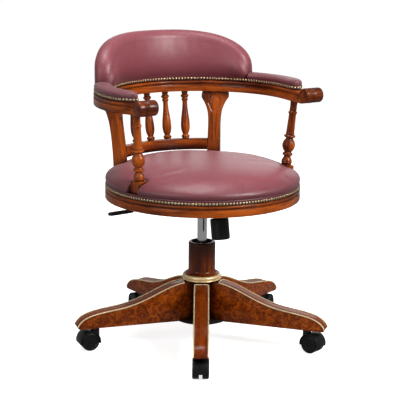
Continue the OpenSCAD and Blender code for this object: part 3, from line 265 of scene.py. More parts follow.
# the leather's dark colour paints shade: down over the edge range and near joints within the reach
leather = {"base": (0.235, 0.036, 0.054), "dark": (0.066, 0.0065, 0.012), "worn": (0.320, 0.085, 0.105),
           "wornShare": 0.4, "grain": 620, "creaseGrain": 341, "cloud": 6, "speck": 70, "dirtReach": 0.02,
           "edgeShade": 0.72, "rough": 0.46, "coat": 0.38, "coatRough": 0.38, "sheen": 0.12,
           "sheenRough": 0.4, "shine": 0.6}


# leather that darkens over the height range edge, down to its nails, as painted shade where it curves under
def softLeather(name, edge):
    ink = Ink(name)
    spot = ink.spot()
    drift = ink.node("ShaderNodeTexNoise", {}, {"Vector": spot, "Scale": 90.0, "Detail": 2.0}, out=1)
    drift = ink.node("ShaderNodeVectorMath", {"operation": "SCALE"}, {0: drift, "Scale": 0.004})
    bent = ink.node("ShaderNodeVectorMath", {"operation": "ADD"}, {0: spot, 1: drift})
    pebbles = ink.cells(bent, leather["grain"])
    creases = ink.span(ink.cells(bent, leather["creaseGrain"], "DISTANCE_TO_EDGE"), 0, 0.09)
    cloud = ink.noise(spot, leather["cloud"], 3, 0.6)
    speck = ink.noise(spot, leather["speck"], 4, 0.7)
    worn = leather["wornShare"]
    paler = tuple((1 - worn) * a + worn * b for a, b in zip(leather["base"], leather["worn"]))
    colour = ink.mix(ink.span(cloud * 0.6 + speck * 0.4, 0.36, 0.68), leather["base"], paler)
    height = ink.part(spot, 2) + cloud * 0.006
    # painted shade: darker towards the bottom, where the leather curves under towards its nails
    colour = ink.mix(ink.span(height, *edge, leather["edgeShade"], 0.0), colour, leather["dark"])
    colour = ink.mix((1 - creases) * 0.28, colour, leather["dark"])
    # painted shade: darker where ambient occlusion finds recesses and joints
    paintedShade = ink.span(ink.crevice(leather["dirtReach"]), 0.3, 0.85, 0.75, 0.0)
    colour = ink.mix(paintedShade, colour, leather["dark"])
    rough = leather["rough"] + ink.span(speck, 0.3, 0.7, -0.05, 0.08) + (1 - creases) * 0.10
    skin = ink.bump(creases * 0.6 + pebbles * 0.35 + speck * 0.25, 0.22, 0.0006)
    return ink.finish(Base_Color=colour, Roughness=rough, Normal=skin, Coat_Weight=leather["coat"],
                      Coat_Roughness=leather["coatRough"], Sheen_Weight=leather["sheen"],
                      Sheen_Roughness=leather["sheenRough"], Specular_IOR_Level=leather["shine"])


def oldMetal(name, base, dark, rough, patina, metal=1.0):
    ink = Ink(name)
    spot = ink.spot()
    stain = ink.noise(spot, 55, 4, 0.65, 0.4)
    dust = ink.noise(spot, 240, 3)
    colour = ink.mix(ink.span(stain, 0.42, 0.72, 0, patina), base, dark)
    colour = ink.mix(ink.span(ink.crevice(0.004), 0.3, 0.95, 0.8, 0), colour, dark)
    return ink.finish(Base_Color=colour, Metallic=metal,
                      Roughness=rough + ink.span(dust, 0.3, 0.7, -0.06, 0.14),
                      Normal=ink.bump(dust * 0.6 + stain * 0.4, 0.15, 0.0003))


# steel drawn along the axis that run shortens
def drawnSteel(name, base, rough, run=(1, 1, 0.02)):
    ink = Ink(name)
    streaks = ink.noise(ink.stretched(run), 420, 3, 0.6)
    smudge = ink.noise(ink.spot(), 24, 3)
    colour = ink.mix(ink.span(smudge, 0.4, 0.75, 0, 0.3), base, tuple(v * 0.62 for v in base))
    return ink.finish(Base_Color=colour, Metallic=1.0,
                      Roughness=rough + ink.span(streaks, 0.3, 0.7, -0.03, 0.08) + smudge * 0.04,
                      Normal=ink.bump(streaks, 0.06, 0.0002))


# fine is the scale of the mould's grain, depth how deep it is
def mouldedPlastic(name, base, rough, fine=900.0, depth=0.0002):
    ink = Ink(name)
    spot = ink.spot()
    skin = ink.noise(spot, fine, 3, 0.6)
    scuff = ink.noise(spot, 40, 5, 0.75)
    colour = ink.mix(ink.span(scuff, 0.52, 0.78, 0, 0.5), base, tuple(v * 1.9 + 0.004 for v in base))
    return ink.finish(Base_Color=colour, Roughness=rough + ink.span(scuff, 0.4, 0.7, -0.04, 0.12),
                      Normal=ink.bump(skin, 0.18, depth), Specular_IOR_Level=0.3)


paint = {"colour": (0.018, 0.019, 0.019), "bare": (0.16, 0.15, 0.14), "rough": 0.42, "chips": (0.64, 0.74)}


def paintedSteel(name):
    ink = Ink(name)
    spot = ink.spot()
    peel = ink.noise(spot, 420, 2)
    chips = ink.noise(spot, 130, 5, 0.8)
    colour = ink.mix(ink.span(chips, *paint["chips"]), paint["colour"], paint["bare"])
    return ink.finish(Base_Color=colour, Metallic=ink.span(chips, *paint["chips"], 0.15, 0.9),
                      Roughness=paint["rough"] + ink.span(peel, 0.3, 0.7, -0.05, 0.1),
                      Normal=ink.bump(peel, 0.25, 0.0003))


def rawBoard(name):
    ink = Ink(name)
    lines = ink.noise(ink.stretched((0.12, 1, 1)), 150, 5, 0.6, 0.5)
    colour = ink.ramp(lines, [(0.3, (0.30, 0.17, 0.075)), (0.7, (0.56, 0.38, 0.20))])
    return ink.finish(Base_Color=colour, Roughness=0.75, Normal=ink.bump(lines, 0.3, 0.0005))


def palePaper(name):
    ink = Ink(name)
    cloud = ink.noise(ink.spot(), 0.6, 2)
    return ink.finish(Base_Color=ink.mix(ink.span(cloud, 0.3, 0.7), (0.93, 0.93, 0.93), (0.95, 0.95, 0.95)),
                      Roughness=0.9, Emission_Color=(1, 1, 1), Emission_Strength=studio["floorGlow"])


finishes = {
    "walnutZ": polishedWood("walnutUpright", "z"),
    "walnutRound": polishedWood("walnutRound", "round"),
    "walnutGrip": polishedWood("walnutGrip", "x", deep=0.5),
    # the hub and the sleeve are darkened copies of the wood, painted shade between the legs and under the
    # seat
    "walnutHub": polishedWood("walnutHub", "z", deep=0.6),
    "walnutSleeve": polishedWood("walnutSleeve", "z", deep=0.5, shadeRange=(0.205, 0.265)),
    "leather": softLeather("oxbloodLeather", (0.728, 0.775)),
    "seatLeather": softLeather("oxbloodSeat", (0.468, 0.512)),
    "gilt": oldMetal("agedGilt", (0.98, 0.74, 0.40), (0.24, 0.13, 0.045), 0.28, 0.3, 0.4),
    "giltLine": oldMetal("giltLine", (0.95, 0.76, 0.47), (0.40, 0.24, 0.10), 0.42, 0.45, 0.4),
    "nail": oldMetal("nailBrass", (0.60, 0.46, 0.27), (0.07, 0.040, 0.02), 0.32, 0.45),
    "chrome": drawnSteel("chromeRod", (0.80, 0.80, 0.80), 0.10),
    "steel": drawnSteel("plainSteel", (0.50, 0.50, 0.49), 0.32, (1, 1, 1)),
    "blackPlastic": mouldedPlastic("blackPlastic", (0.006, 0.006, 0.0065), 0.40),
    "casterPlastic": mouldedPlastic("casterPlastic", (0.006, 0.006, 0.007), 0.30, 500),
    "blackSteel": paintedSteel("blackSteel"),
    "rubber": mouldedPlastic("stopRubber", (0.02, 0.02, 0.02), 0.75, 300, 0.0005),
    "board": rawBoard("rawBoard"),
    "paper": palePaper("palePaper"),
}

legStar = {"legs": 5, "turn": -31.6, "burl": 0.75, "coat": 0.05}
legNumbers = range(1, legStar["legs"] + 1)


def legHeading(leg):  # degrees from +X
    return legStar["turn"] - 90 + 360 / legStar["legs"] * (leg - 1)


for leg in legNumbers:
    finishes[f"leg{leg}"] = polishedWood(f"burlLeg{leg}", "x", legHeading(leg), legStar["burl"],
                                         coat=legStar["coat"])
print("chair: finishes written,", len(finishes))


def meshPiece(name, points, faces, finish, smooth=True):
    mesh = bpy.data.meshes.new(name)
    mesh.from_pydata([tuple(p) for p in points], [], faces)
    work = bmesh.new()
    work.from_mesh(mesh)
    bmesh.ops.recalc_face_normals(work, faces=work.faces)
    work.to_mesh(mesh)
    work.free()
    mesh.polygons.foreach_set("use_smooth", [smooth] * len(mesh.polygons))
    mesh.materials.append(finishes[finish])
    piece = bpy.data.objects.new(name, mesh)
    scene.collection.objects.link(piece)
    return piece


def around(count):  # angles of evenly spaced points on a circle
    return [2 * math.pi * i / count for i in range(count)]


def mm(x, y, z):  # a point given in mm
    return Vector((x / 1000, y / 1000, z / 1000))


def cosOf(degrees):
    return math.cos(math.radians(degrees))


def sinOf(degrees):
    return math.sin(math.radians(degrees))


# faces over rows of points, each row a closed ring of the same length
def ringFaces(rows, across, closedRows, caps):
    faces = []
    for j in range(rows if closedRows else rows - 1):
        k = (j + 1) % rows
        for i in range(across):
            n = (i + 1) % across
            faces.append((j * across + i, j * across + n, k * across + n, k * across + i))
    if caps and not closedRows:
        faces.append(tuple(range(across - 1, -1, -1)))
        faces.append(tuple((rows - 1) * across + i for i in range(across)))
    return faces


def loft(name, rings, finish, closedRows=False, caps=True, smooth=True):
    points = [p for ring in rings for p in ring]
    return meshPiece(name, points, ringFaces(len(rings), len(rings[0]), closedRows, caps), finish, smooth)


# rings of a lathe profile [(radius, height)] in mm, put in place by a matrix in metres
def turnedRings(profile, placeAt, segments=48):
    return [[placeAt @ mm(radius * math.cos(a), radius * math.sin(a), height) for a in around(segments)]
            for radius, height in profile]


# one object out of several with the same finish
def joined(name, pieces):
    work = bmesh.new()
    for piece in pieces:
        work.from_mesh(piece.data)
    mesh = pieces[0].data
    work.to_mesh(mesh)
    work.free()
    for piece in pieces[1:]:
        bpy.data.objects.remove(piece)
    pieces[0].name = name
    return pieces[0]


# sharp edges over an angle in degrees, smooth faces between
def edgeSplit(piece, angle):
    piece.data.polygons.foreach_set("use_smooth", [True] * len(piece.data.polygons))
    piece.data.set_sharp_from_angle(angle=math.radians(angle))


# points of a Bezier curve in n steps
def cubic(a, b, c, d, n):
    return [tuple((1 - t) ** 3 * p + 3 * (1 - t) ** 2 * t * q + 3 * (1 - t) * t * t * r + t ** 3 * s
                  for p, q, r, s in zip(a, b, c, d)) for t in (i / n for i in range(n + 1))]


# a round bead of a lathe profile, from radius out to peak and back
def bead(low, high, radius, peak, n):
    return [(radius + (peak - radius) * math.sin(math.pi * i / n) ** 0.8, low + (high - low) * i / n)
            for i in range(n + 1)]


def standFor(piece, body, slot, *cadNodes):
    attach(piece, body)
    if cadNodes:
        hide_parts(*cadNodes)
    return piece


# how the CAD nodes are dressed, with the weld in metres and the angles in degrees
nodeCare = {"weld": 1e-6, "flat": 0.4, "smoothUnder": 32, "bevelOver": 38, "segments": 2}


# Geometry Nodes that smooth a piece but for its edges over an angle
def edgeTree():
    tree = bpy.data.node_groups.new("keepEdges", "GeometryNodeTree")
    tree.interface.new_socket("Geometry", in_out="INPUT", socket_type="NodeSocketGeometry")
    limit = tree.interface.new_socket("Edge Angle", in_out="INPUT", socket_type="NodeSocketFloat")
    limit.default_value = math.radians(nodeCare["smoothUnder"])
    tree.interface.new_socket("Geometry", in_out="OUTPUT", socket_type="NodeSocketGeometry")
    add = tree.nodes.new
    start, end = add("NodeGroupInput"), add("NodeGroupOutput")
    soft, sharp = add("GeometryNodeSetShadeSmooth"), add("GeometryNodeSetShadeSmooth")
    sharp.domain = "EDGE"
    sharp.inputs["Shade Smooth"].default_value = False
    angle, over = add("GeometryNodeInputMeshEdgeAngle"), add("FunctionNodeCompare")
    over.operation = "GREATER_THAN"
    link = tree.links.new
    link(start.outputs["Geometry"], soft.inputs["Geometry"])
    link(soft.outputs[0], sharp.inputs["Geometry"])
    link(angle.outputs["Unsigned Angle"], over.inputs[0])
    link(start.outputs["Edge Angle"], over.inputs[1])
    link(over.outputs[0], sharp.inputs["Selection"])
    link(sharp.outputs[0], end.inputs[0])
    return tree


keepEdges = edgeTree()


# a CAD node kept as it is, with welded faces, eased edges and its finish
def dressNode(name, finish, edge):
    piece = nodes[name]
    material = finishes[finish]
    if not piece.material_slots:
        piece.data.materials.append(material)
    for slotOf in piece.material_slots:
        slotOf.link = "OBJECT"
        slotOf.material = material
    weld = piece.modifiers.new("weld", "WELD")
    weld.merge_threshold = nodeCare["weld"]
    flat = piece.modifiers.new("flat", "DECIMATE")
    flat.decimate_type, flat.angle_limit = "DISSOLVE", math.radians(nodeCare["flat"])
    if edge:
        ease = piece.modifiers.new("ease", "BEVEL")
        ease.width, ease.segments, ease.limit_method = edge, nodeCare["segments"], "ANGLE"
        ease.angle_limit = math.radians(nodeCare["bevelOver"])
        ease.harden_normals = False
    piece.modifiers.new("smooth", "NODES").node_group = keepEdges


# under each finish, its nodes and how far their edges are eased, in metres
keptNodes = {
    "walnutHub": [("base_hub", 0.0006)],
    "walnutSleeve": [("column_sleeve", 0.0012)],
    "walnutRound": [("lower_rail", 0.0015)],
    "gilt": [("column_ring", 0.0)],
    "chrome": [("gas_cylinder", 0.0004)],
    "steel": [(n, 0.0003) for n in ("base_screws", "caster_sockets", "piston_rod", "rod_clips", "pivot_pins",
                                    "valve_button", "plate_screws", "tension_bolt", "tension_washer")],
    "blackSteel": [("base_plate", 0.0005), ("column_tube", 0.0004), ("mechanism_housing", 0.0006),
                   ("lift_lever", 0.0008), ("seat_plate", 0.0005)],
    "blackPlastic": [("guide_bush", 0.0004), ("lever_grip", 0.0015), ("tension_knob", 0.0012)],
    "rubber": [("stop_buffers", 0.0008)],
    "board": [("seat_board", 0.0005)],
    "casterPlastic": [],
}
for leg in legNumbers:
    keptNodes[f"leg{leg}"] = [(f"leg_{leg}", 0.0016)]
    keptNodes["blackSteel"].append((f"caster_pins_{leg}", 0.0004))
    keptNodes["casterPlastic"] += [(f"caster_yoke_{leg}", 0.0008), (f"wheel_left_{leg}", 0.0),
                                   (f"wheel_right_{leg}", 0.0)]
for finish, members in keptNodes.items():
    for name, edge in members:
        dressNode(name, finish, edge)
print("chair: CAD nodes dressed,", sum(len(v) for v in keptNodes.values()))


# a piece's sizes are in mm unless a note says metres
springSizes = {"radius": 12, "wire": 1.7, "turns": 6, "front": 85.5, "height": 402, "lean": 10,
               "turnSteps": 24, "wireSides": 10}


# the coil between the knob's washer and the housing
def buildSpring(s):
    place = Matrix.Translation(mm(0, -s["front"], s["height"])) @ Matrix.Rotation(
        -math.radians(s["lean"]), 4, "X")
    solid = nodes["tension_spring"]
    back = place.inverted() @ solid.matrix_world
    heights = [(back @ v.co).z * 1000 for v in solid.data.vertices]
    low, high = min(heights) + s["wire"], max(heights) - s["wire"]
    steps = s["turnSteps"] * s["turns"]
    rings = []
    for j in range(steps + 1):
        a = 2 * math.pi * j / s["turnSteps"]
        ring = []
        for b in around(s["wireSides"]):
            r = s["radius"] + s["wire"] * math.cos(b)
            z = low + (high - low) * j / steps + s["wire"] * math.sin(b)
            ring.append(place @ mm(r * math.cos(a), r * math.sin(a), z))
        rings.append(ring)
    spring = loft("tensionCoil", rings, "steel")
    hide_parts("tension_spring")
    tuple(place @ mm(0, 0, low))
    tuple(place @ mm(0, 0, high))
    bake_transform(spring)


buildSpring(springSizes)
print("chair: spring wound")

# the seat rim and the arm rail share one moulding
moulding = {"band": 20, "groove": 3.5, "depth": 3, "bead": 8, "round": 1.2}
rimSizes = {"radius": 275, "width": 40, "ledge": 10, "foot": 422, "height": 43, "board": 443,
            "setBack": 5, "setBackFrom": 32, "steps": 180}


# points (across, up) of one moulded face, from its foot up
def mouldingSide(edge):
    m = moulding
    top, back = m["band"] + m["groove"], edge - m["depth"]
    points = [(edge - m["round"], 0), (edge - 0.4, 0.3), (edge, m["round"]), (edge, m["band"] - m["round"]),
              (edge - 0.4, m["band"] - 0.3), (edge - m["round"], m["band"]), (back, m["band"] + 0.4),
              (back - 0.4, top - 1), (back - 0.2, top)]
    return points + [(back + m["depth"] * cosOf(a),
                      top + m["bead"] / 2 * (1 + sinOf(a))) for a in range(-75, 91, 15)]


def buildSeatRim(s):
    outer, inner = s["radius"] - s["setBack"], s["radius"] - s["width"]
    ledge, boardFoot = inner - s["ledge"], s["board"] - s["foot"]
    profile = mouldingSide(s["radius"])
    profile += [(outer, s["setBackFrom"]), (outer, s["height"]), (inner, s["height"]), (inner, boardFoot),
                (ledge, boardFoot), (ledge, 0)]
    rings = [[Vector((r * math.cos(a), r * math.sin(a), s["foot"] + z)) / 1000 for r, z in profile]
             for a in around(s["steps"])]
    rim = loft("seatRim", rings, "walnutRound", closedRows=True)
    edgeSplit(rim, 42)
    standFor(rim, "seat", "walnut", "seat_frame")


railSizes = {"radius": 278, "width": 55, "toe": 6, "front": 106, "foot": 686, "steps": 96, "taper": 20,
             "taperLength": 75, "frontSteps": 16}


# how far an arm's outer face has drawn in along its front stretch
def drawnIn(run):
    return railSizes["taper"] * (1 - math.cos(math.pi * min(1, run / railSizes["taperLength"]))) / 2


# (point, outward) pairs along the rail's middle, from the +X front end round to the -X one
def railPath(s, front, steps):
    toe = math.radians(s["toe"])
    bend = Vector((s["radius"] * math.cos(toe), -s["radius"] * math.sin(toe), 0))
    along = Vector((-math.sin(toe), -math.cos(toe), 0))
    out = Vector((math.cos(toe), -math.sin(toe), 0))
    half = []
    for k in range(s["frontSteps"]):
        run = front * (1 - k / s["frontSteps"])
        half.append((bend + along * run - out * drawnIn(run) / 2, out * (1 - drawnIn(run) / s["width"])))
    arc = []
    for i in range(steps + 1):
        a = -toe + (math.pi + 2 * toe) * i / steps
        arc.append((Vector((s["radius"] * math.cos(a), s["radius"] * math.sin(a), 0)),
                    Vector((math.cos(a), math.sin(a), 0))))
    other = [(Vector((-p.x, p.y, 0)), Vector((-o.x, o.y, 0))) for p, o in reversed(half)]
    return half + arc + other


def buildArmRail(s):
    right = mouldingSide(s["width"] / 2)
    section = right + [(-x, z) for x, z in reversed(right)]
    rings = [[(p + out * x + Vector((0, 0, s["foot"] + z))) / 1000 for x, z in section]
             for p, out in railPath(s, s["front"], s["steps"])]
    rail = loft("armRail", rings, "walnutRound")
    edgeSplit(rail, 42)
    standFor(rail, "seat", "walnut", "arm_rail")


buildSeatRim(rimSizes)
buildArmRail(railSizes)
print("chair: rim and rail built")

postSizes = {"radius": 246, "angle": 15, "leanOut": 4.4, "leanForward": 3.6, "block": 34.6, "blockHeight": 38,
             "blockTurn": 10, "corner": 1.6, "rimTop": 465, "gap": 221}
# how a post's square block is rounded: (inset, height) from its foot, height from its top
blockFoot = [(0, -1.5)]
blockTop = [(0, -3.2), (0.5, -1.4), (2.2, -0.2), (4.5, 0)]


# (radius, height) up a front post, over its block
def frontPostProfile(length):
    p = [(12.6, 37), (13.8, 38.6), (13.8, 40.5), (12.9, 41.5)]
    p += bead(42, 47, 14.2, 16.0, 6)
    p += cubic((15.0, 48.2), (14.6, 54), (10.2, 56), (9.8, 62), 8)
    p += [(10.6, 63.2)] + bead(64, 72.5, 11.2, 15.0, 8) + [(10.4, 74), (10.2, 75.2)]
    p += [(10.2 + 8.2 * math.sin(math.pi * t) ** 0.75, 75.5 + 37 * t) for t in (i / 16 for i in range(1, 16))]
    p += [(10.0, 113.2), (9.8, 114.8)] + bead(115.4, 125.6, 11.2, 16.6, 9) + [(11.4, 126.6), (12.4, 127.2)]
    p += [(12.4, 129.5), (11.8, 131)]
    p += cubic((11.6, 133), (11.4, 150), (10.6, 165), (10.4, length - 38.5), 8)
    p += bead(length - 37, length - 30, 10.8, 12.9, 6)
    p += [(9.9, length - 28.8), (9.8, length - 12), (10.4, length - 4), (10.4, length - 0.4)]
    return p


# the frame of a front post's foot, mirrored for side -1
def postPlace(s, side):
    a = math.radians(s["angle"])
    place = Matrix.Translation(mm(s["radius"] * math.cos(a), -s["radius"] * math.sin(a), s["rimTop"]))
    place = place @ Matrix.Rotation(math.radians(s["leanOut"]), 4, "Y") @ Matrix.Rotation(
        math.radians(s["leanForward"]), 4, "X")
    return (Matrix.Diagonal((-1, 1, 1, 1)) if side < 0 else Matrix.Identity(4)) @ place


def blockPlace(s, side):  # a front post's block is turned on its post
    return postPlace(s, side) @ Matrix.Rotation(-math.radians(s["blockTurn"]), 4, "Z")


def buildFrontPosts(s):
    length = s["gap"] / cosOf(s["leanOut"]) / cosOf(s["leanForward"])
    parts = []
    for side in (1, -1):
        parts.append(loft("post", turnedRings(frontPostProfile(length), postPlace(s, side)), "walnutZ"))
        turn, e = blockPlace(s, side), s["corner"]
        rings = []
        for inset, height in blockFoot + [(i, s["blockHeight"] + z) for i, z in blockTop]:
            h = s["block"] / 2 - inset
            corners = [(h, -h + e), (h, h - e), (h - e, h), (-h + e, h), (-h, h - e), (-h, -h + e),
                       (-h + e, -h), (h - e, -h)]
            rings.append([turn @ mm(x, y, height) for x, y in corners])
        parts.append(loft("block", rings, "walnutZ"))
    posts = joined("frontPosts", parts)
    low = s["rimTop"] / 1000
    for vertex in posts.data.vertices:  # cut level with the rim and the rail
        vertex.co.z = min(max(vertex.co.z, low), low + s["gap"] / 1000)
    edgeSplit(posts, 36)
    standFor(posts, "seat", "walnut", "front_posts")


spindleSizes = {"count": 4, "step": 13, "foot": 249, "top": 272, "low": 545, "high": 686}


# (radius, height) up a back spindle
def spindleProfile(length):
    collar = length - 15
    p = [(9.6, 0), (9.8, 1.6)] + bead(2.4, 11, 9.6, 12.6, 8) + [(8.2, 12.4)]
    p += cubic((8.0, 13.5), (12.6, 22), (13.9, 31), (13.4, 42), 9)
    p += cubic((13.3, 45), (12.6, 64), (7.4, 84), (7.2, collar - 20), 10)
    p += [(7.4, collar - 16)] + bead(collar - 15, collar - 8, 8.2, 10.0, 6)
    p += [(8.0, collar - 6.8)] + bead(collar - 6, collar + 4, 8.4, 12.2, 8)
    p += [(8.2, collar + 5.5), (9.2, collar + 8), (9.4, length + 2)]
    return p


def buildSpindles(s):
    parts = []
    lean = math.atan((s["top"] - s["foot"]) / (s["high"] - s["low"]))
    length = (s["high"] - s["low"]) / math.cos(lean)
    for i in range(s["count"]):
        turn = math.radians(s["step"] * (i - (s["count"] - 1) / 2))
        place = Matrix.Rotation(turn, 4, "Z") @ Matrix.Translation(mm(0, s["foot"], s["low"]))
        place = place @ Matrix.Rotation(-lean, 4, "X")
        parts.append(loft("spindle", turnedRings(spindleProfile(length), place, 40), "walnutZ"))
    spindles = joined("backSpindles", parts)
    edgeSplit(spindles, 36)
    standFor(spindles, "seat", "walnut", "spindles")


gripSizes = {"radius": 21, "length": 57, "height": 710, "at": 117.6, "ring": 21.5, "rim": 4.2, "segments": 72,
             "endRows": 14, "button": 5, "hollow": 1.3, "spiral": 0.75, "spiralTurn": 0.62}


# (radius, height) along a handgrip, with one ring
def gripProfile(s):
    r, half = s["radius"], s["length"] / 2
    ring = s["ring"] - half
    profile = [(r - s["rim"], -half), (r - 1.9, -half + 0.6), (r - 0.5, -half + 2.2), (r - 0.1, -half + 5),
               (r, ring - 6.5), (r - 0.1, ring - 5.2), (r - 1.3, ring - 4.3), (r - 1.7, ring - 3.2),
               (r - 1.4, ring - 2.4)]
    profile += bead(ring - 2.2, ring + 2.2, r - 1.3, r + 0.1, 8)
    return profile + [(r - 1.4, ring + 2.4), (r - 1.7, ring + 3.2), (r - 1.1, ring + 4.4),
                      (r - 0.2, ring + 6), (r, ring + 10), (r, half - 6), (r - 0.3, half - 3.6),
                      (r - 1.2, half - 1.6), (r - 2.6, half - 0.4), (r - s["rim"], half)]


# rings of a grip's end, hollowed with a carved spiral round a button
def gripEnd(s, place, end):
    face = s["radius"] - s["rim"]
    rings = []
    for k in range(1, s["endRows"] + 1):
        radius = face * (1 - k / (s["endRows"] + 0.5))
        carved = radius > s["button"]
        hollow = -s["hollow"] * (1 - math.exp(-((radius - face) / 1.6) ** 2)) if carved else -0.2
        ring = []
        for a in around(s["segments"]):
            scroll = max(0, math.sin(a * end + radius * s["spiralTurn"]))
            lift = hollow + s["spiral"] * scroll * carved * min(1, (face - radius) / 2)
            ring.append(place @ mm(radius * math.cos(a), radius * math.sin(a),
                                   end * (s["length"] / 2 + lift)))
        rings.append(ring)
    return rings


# turned handgrips, both set the same way
def buildGrips(s):
    toe = math.radians(railSizes["toe"])
    centre = Vector((railSizes["radius"] * math.cos(toe) - s["at"] * math.sin(toe),
                     -railSizes["radius"] * math.sin(toe) - s["at"] * math.cos(toe), s["height"])) / 1000
    parts = []
    for side in (1, -1):
        place = Matrix.Translation((centre.x * side, centre.y, centre.z)) @ Matrix.Rotation(
            math.radians(90), 4, "Y")
        rings = gripEnd(s, place, -1)[::-1] + turnedRings(gripProfile(s), place, s["segments"]) + gripEnd(
            s, place, 1)
        parts.append(loft("grip", rings, "walnutGrip"))
    grips = joined("handGrips", parts)
    edgeSplit(grips, 50)
    standFor(grips, "seat", "dark_walnut", "arm_grips")


buildFrontPosts(postSizes)
buildSpindles(spindleSizes)
buildGrips(gripSizes)
print("chair: turnings built")

rearSizes = {"angle": 39, "radius": 251, "thick": 30, "foot": 20, "waist": 17.5, "waistHeight": 118,
             "head": 40, "headHeight": 201, "gap": 221, "rimTop": 465, "sweep": 27, "bend": 1.8, "round": 2.6,
             "rows": 88, "faceSteps": 44, "backSteps": 6}
carving = {"shield": 19, "arch": 9, "archFoot": 36, "fall": 34, "depth": 1.9, "groove": 1.5,
           "grooveWidth": 1.15, "lane": 5.5}


# half the width of a rear post as a function of the height over the rim
def rearPostWidths(s):
    shoulder = cubic((s["waist"], s["waistHeight"]), (s["waist"], s["waistHeight"] + 40),
                     (s["waist"] + 3, s["headHeight"] - 28), (s["head"], s["headHeight"]), 24)
    known = [(s["foot"], 0)] + shoulder + [(s["head"], s["gap"] - 12), (s["head"] - 2.5, s["gap"])]
    return lambda h: float(np.interp(h, [k[1] for k in known], [k[0] for k in known]))


# how far the inner face is cut in, at a distance u from its middle and a height h
def carvedDepth(u, h, s, c):
    depth = 0.0
    top, low = s["gap"] - c["arch"], s["gap"] - c["archFoot"]
    if low - 26 < h < top:  # a small shield under an arch
        if h > low:
            reach = c["shield"] * math.sqrt(max(0.0, 1 - (h - low) ** 2 / (top - low) ** 2))
        else:
            reach = c["shield"] * max(0.0, 1 - (low - h) / c["fall"]) ** 0.7
        inside = reach - abs(u)
        edge = 1 / (1 + math.exp(-inside / 0.7))
        depth = c["depth"] * edge * math.exp(-((inside - 2.2) / 4.5) ** 2) + 0.5 * (inside > 0)
    if h < low + 6:  # two grooves that run down the post
        fall = min(1.0, max(0.0, (h - 40) / 60))
        lane = c["lane"] + 0.03 * max(0, h - 110) + 0.36 * max(0.0, h - 165)
        depth = max(depth, c["groove"] * fall * math.exp(-((abs(u) - lane) / c["grooveWidth"]) ** 2))
    return depth


def buildRearPost(side, s):
    width = rearPostWidths(s)
    turn = Matrix.Rotation(-side * math.radians(s["angle"]), 4, "Z")
    thick, e = s["thick"] / 2, s["round"]
    rings = []
    for j in range(s["rows"] + 1):
        h = s["gap"] * j / s["rows"]
        w = width(h)
        out = s["sweep"] * (h / s["gap"]) ** s["bend"]
        front = [-w + e + (2 * w - 2 * e) * k / s["faceSteps"] for k in range(s["faceSteps"] + 1)]
        ring = [(u, -thick + carvedDepth(u, h, s, carving)) for u in front]
        ring += [(w - e + e * sinOf(a), -thick + e - e * cosOf(a)) for a in (30, 60, 90)]
        ring += [(w - e + e * cosOf(a), thick - e + e * sinOf(a)) for a in (0, 30, 60, 90)]
        ring += [(w - e - (2 * w - 2 * e) * k / s["backSteps"], thick)
                 for k in range(1, s["backSteps"] + 1)]
        ring += [(-w + e - e * sinOf(a), thick - e + e * cosOf(a)) for a in (30, 60, 90)]
        ring += [(-w + e - e * cosOf(a), -thick + e - e * sinOf(a)) for a in (0, 30, 60)]
        rings.append([turn @ mm(u, s["radius"] + out + v, s["rimTop"] + h) for u, v in ring])
    post = loft("rearPostLeft" if side > 0 else "rearPostRight", rings, "walnutZ")
    edgeSplit(post, 55)
    standFor(post, "seat", "walnut", "rear_post_left" if side > 0 else "rear_post_right")


buildRearPost(1, rearSizes)
buildRearPost(-1, rearSizes)
print("chair: rear posts carved")


# in metres: the leather's voxels and how far it may puff; armShare, backShare and backPuff are shares
softSizes = {"voxel": 0.0052, "armShare": 0.62, "backShare": 0.8, "seatCap": 0.006, "padCap": 0.004,
             "backPuff": 1.2, "smoothing": 14, "frames": 20}
clothFeel = {"quality": 6, "mass": 0.25, "tension": 18, "compression": 15, "shear": 10, "bending": 5,
             "pressure": 4.0}


# the evaluated mesh becomes the piece's own, and its modifiers go
def settle(piece):
    graph = bpy.context.evaluated_depsgraph_get()
    graph.update()
    mesh = bpy.data.meshes.new_from_object(piece.evaluated_get(graph))
    piece.modifiers.clear()
    old = piece.data
    piece.data = mesh
    bpy.data.meshes.remove(old)


def remesh(piece, voxel):
    mod = piece.modifiers.new("remesh", "REMESH")
    mod.mode, mod.voxel_size = "VOXEL", voxel
    mod.use_smooth_shade = True
    settle(piece)


def relax(piece, rounds):
    mod = piece.modifiers.new("relax", "SMOOTH")
    mod.factor, mod.iterations = 0.5, rounds
    settle(piece)


def subdivide(piece, finish):
    mod = piece.modifiers.new("fine", "SUBSURF")
    mod.levels = mod.render_levels = 1
    settle(piece)
    piece.data.polygons.foreach_set("use_smooth", [True] * len(piece.data.polygons))
    piece.data.materials.clear()
    piece.data.materials.append(finishes[finish])


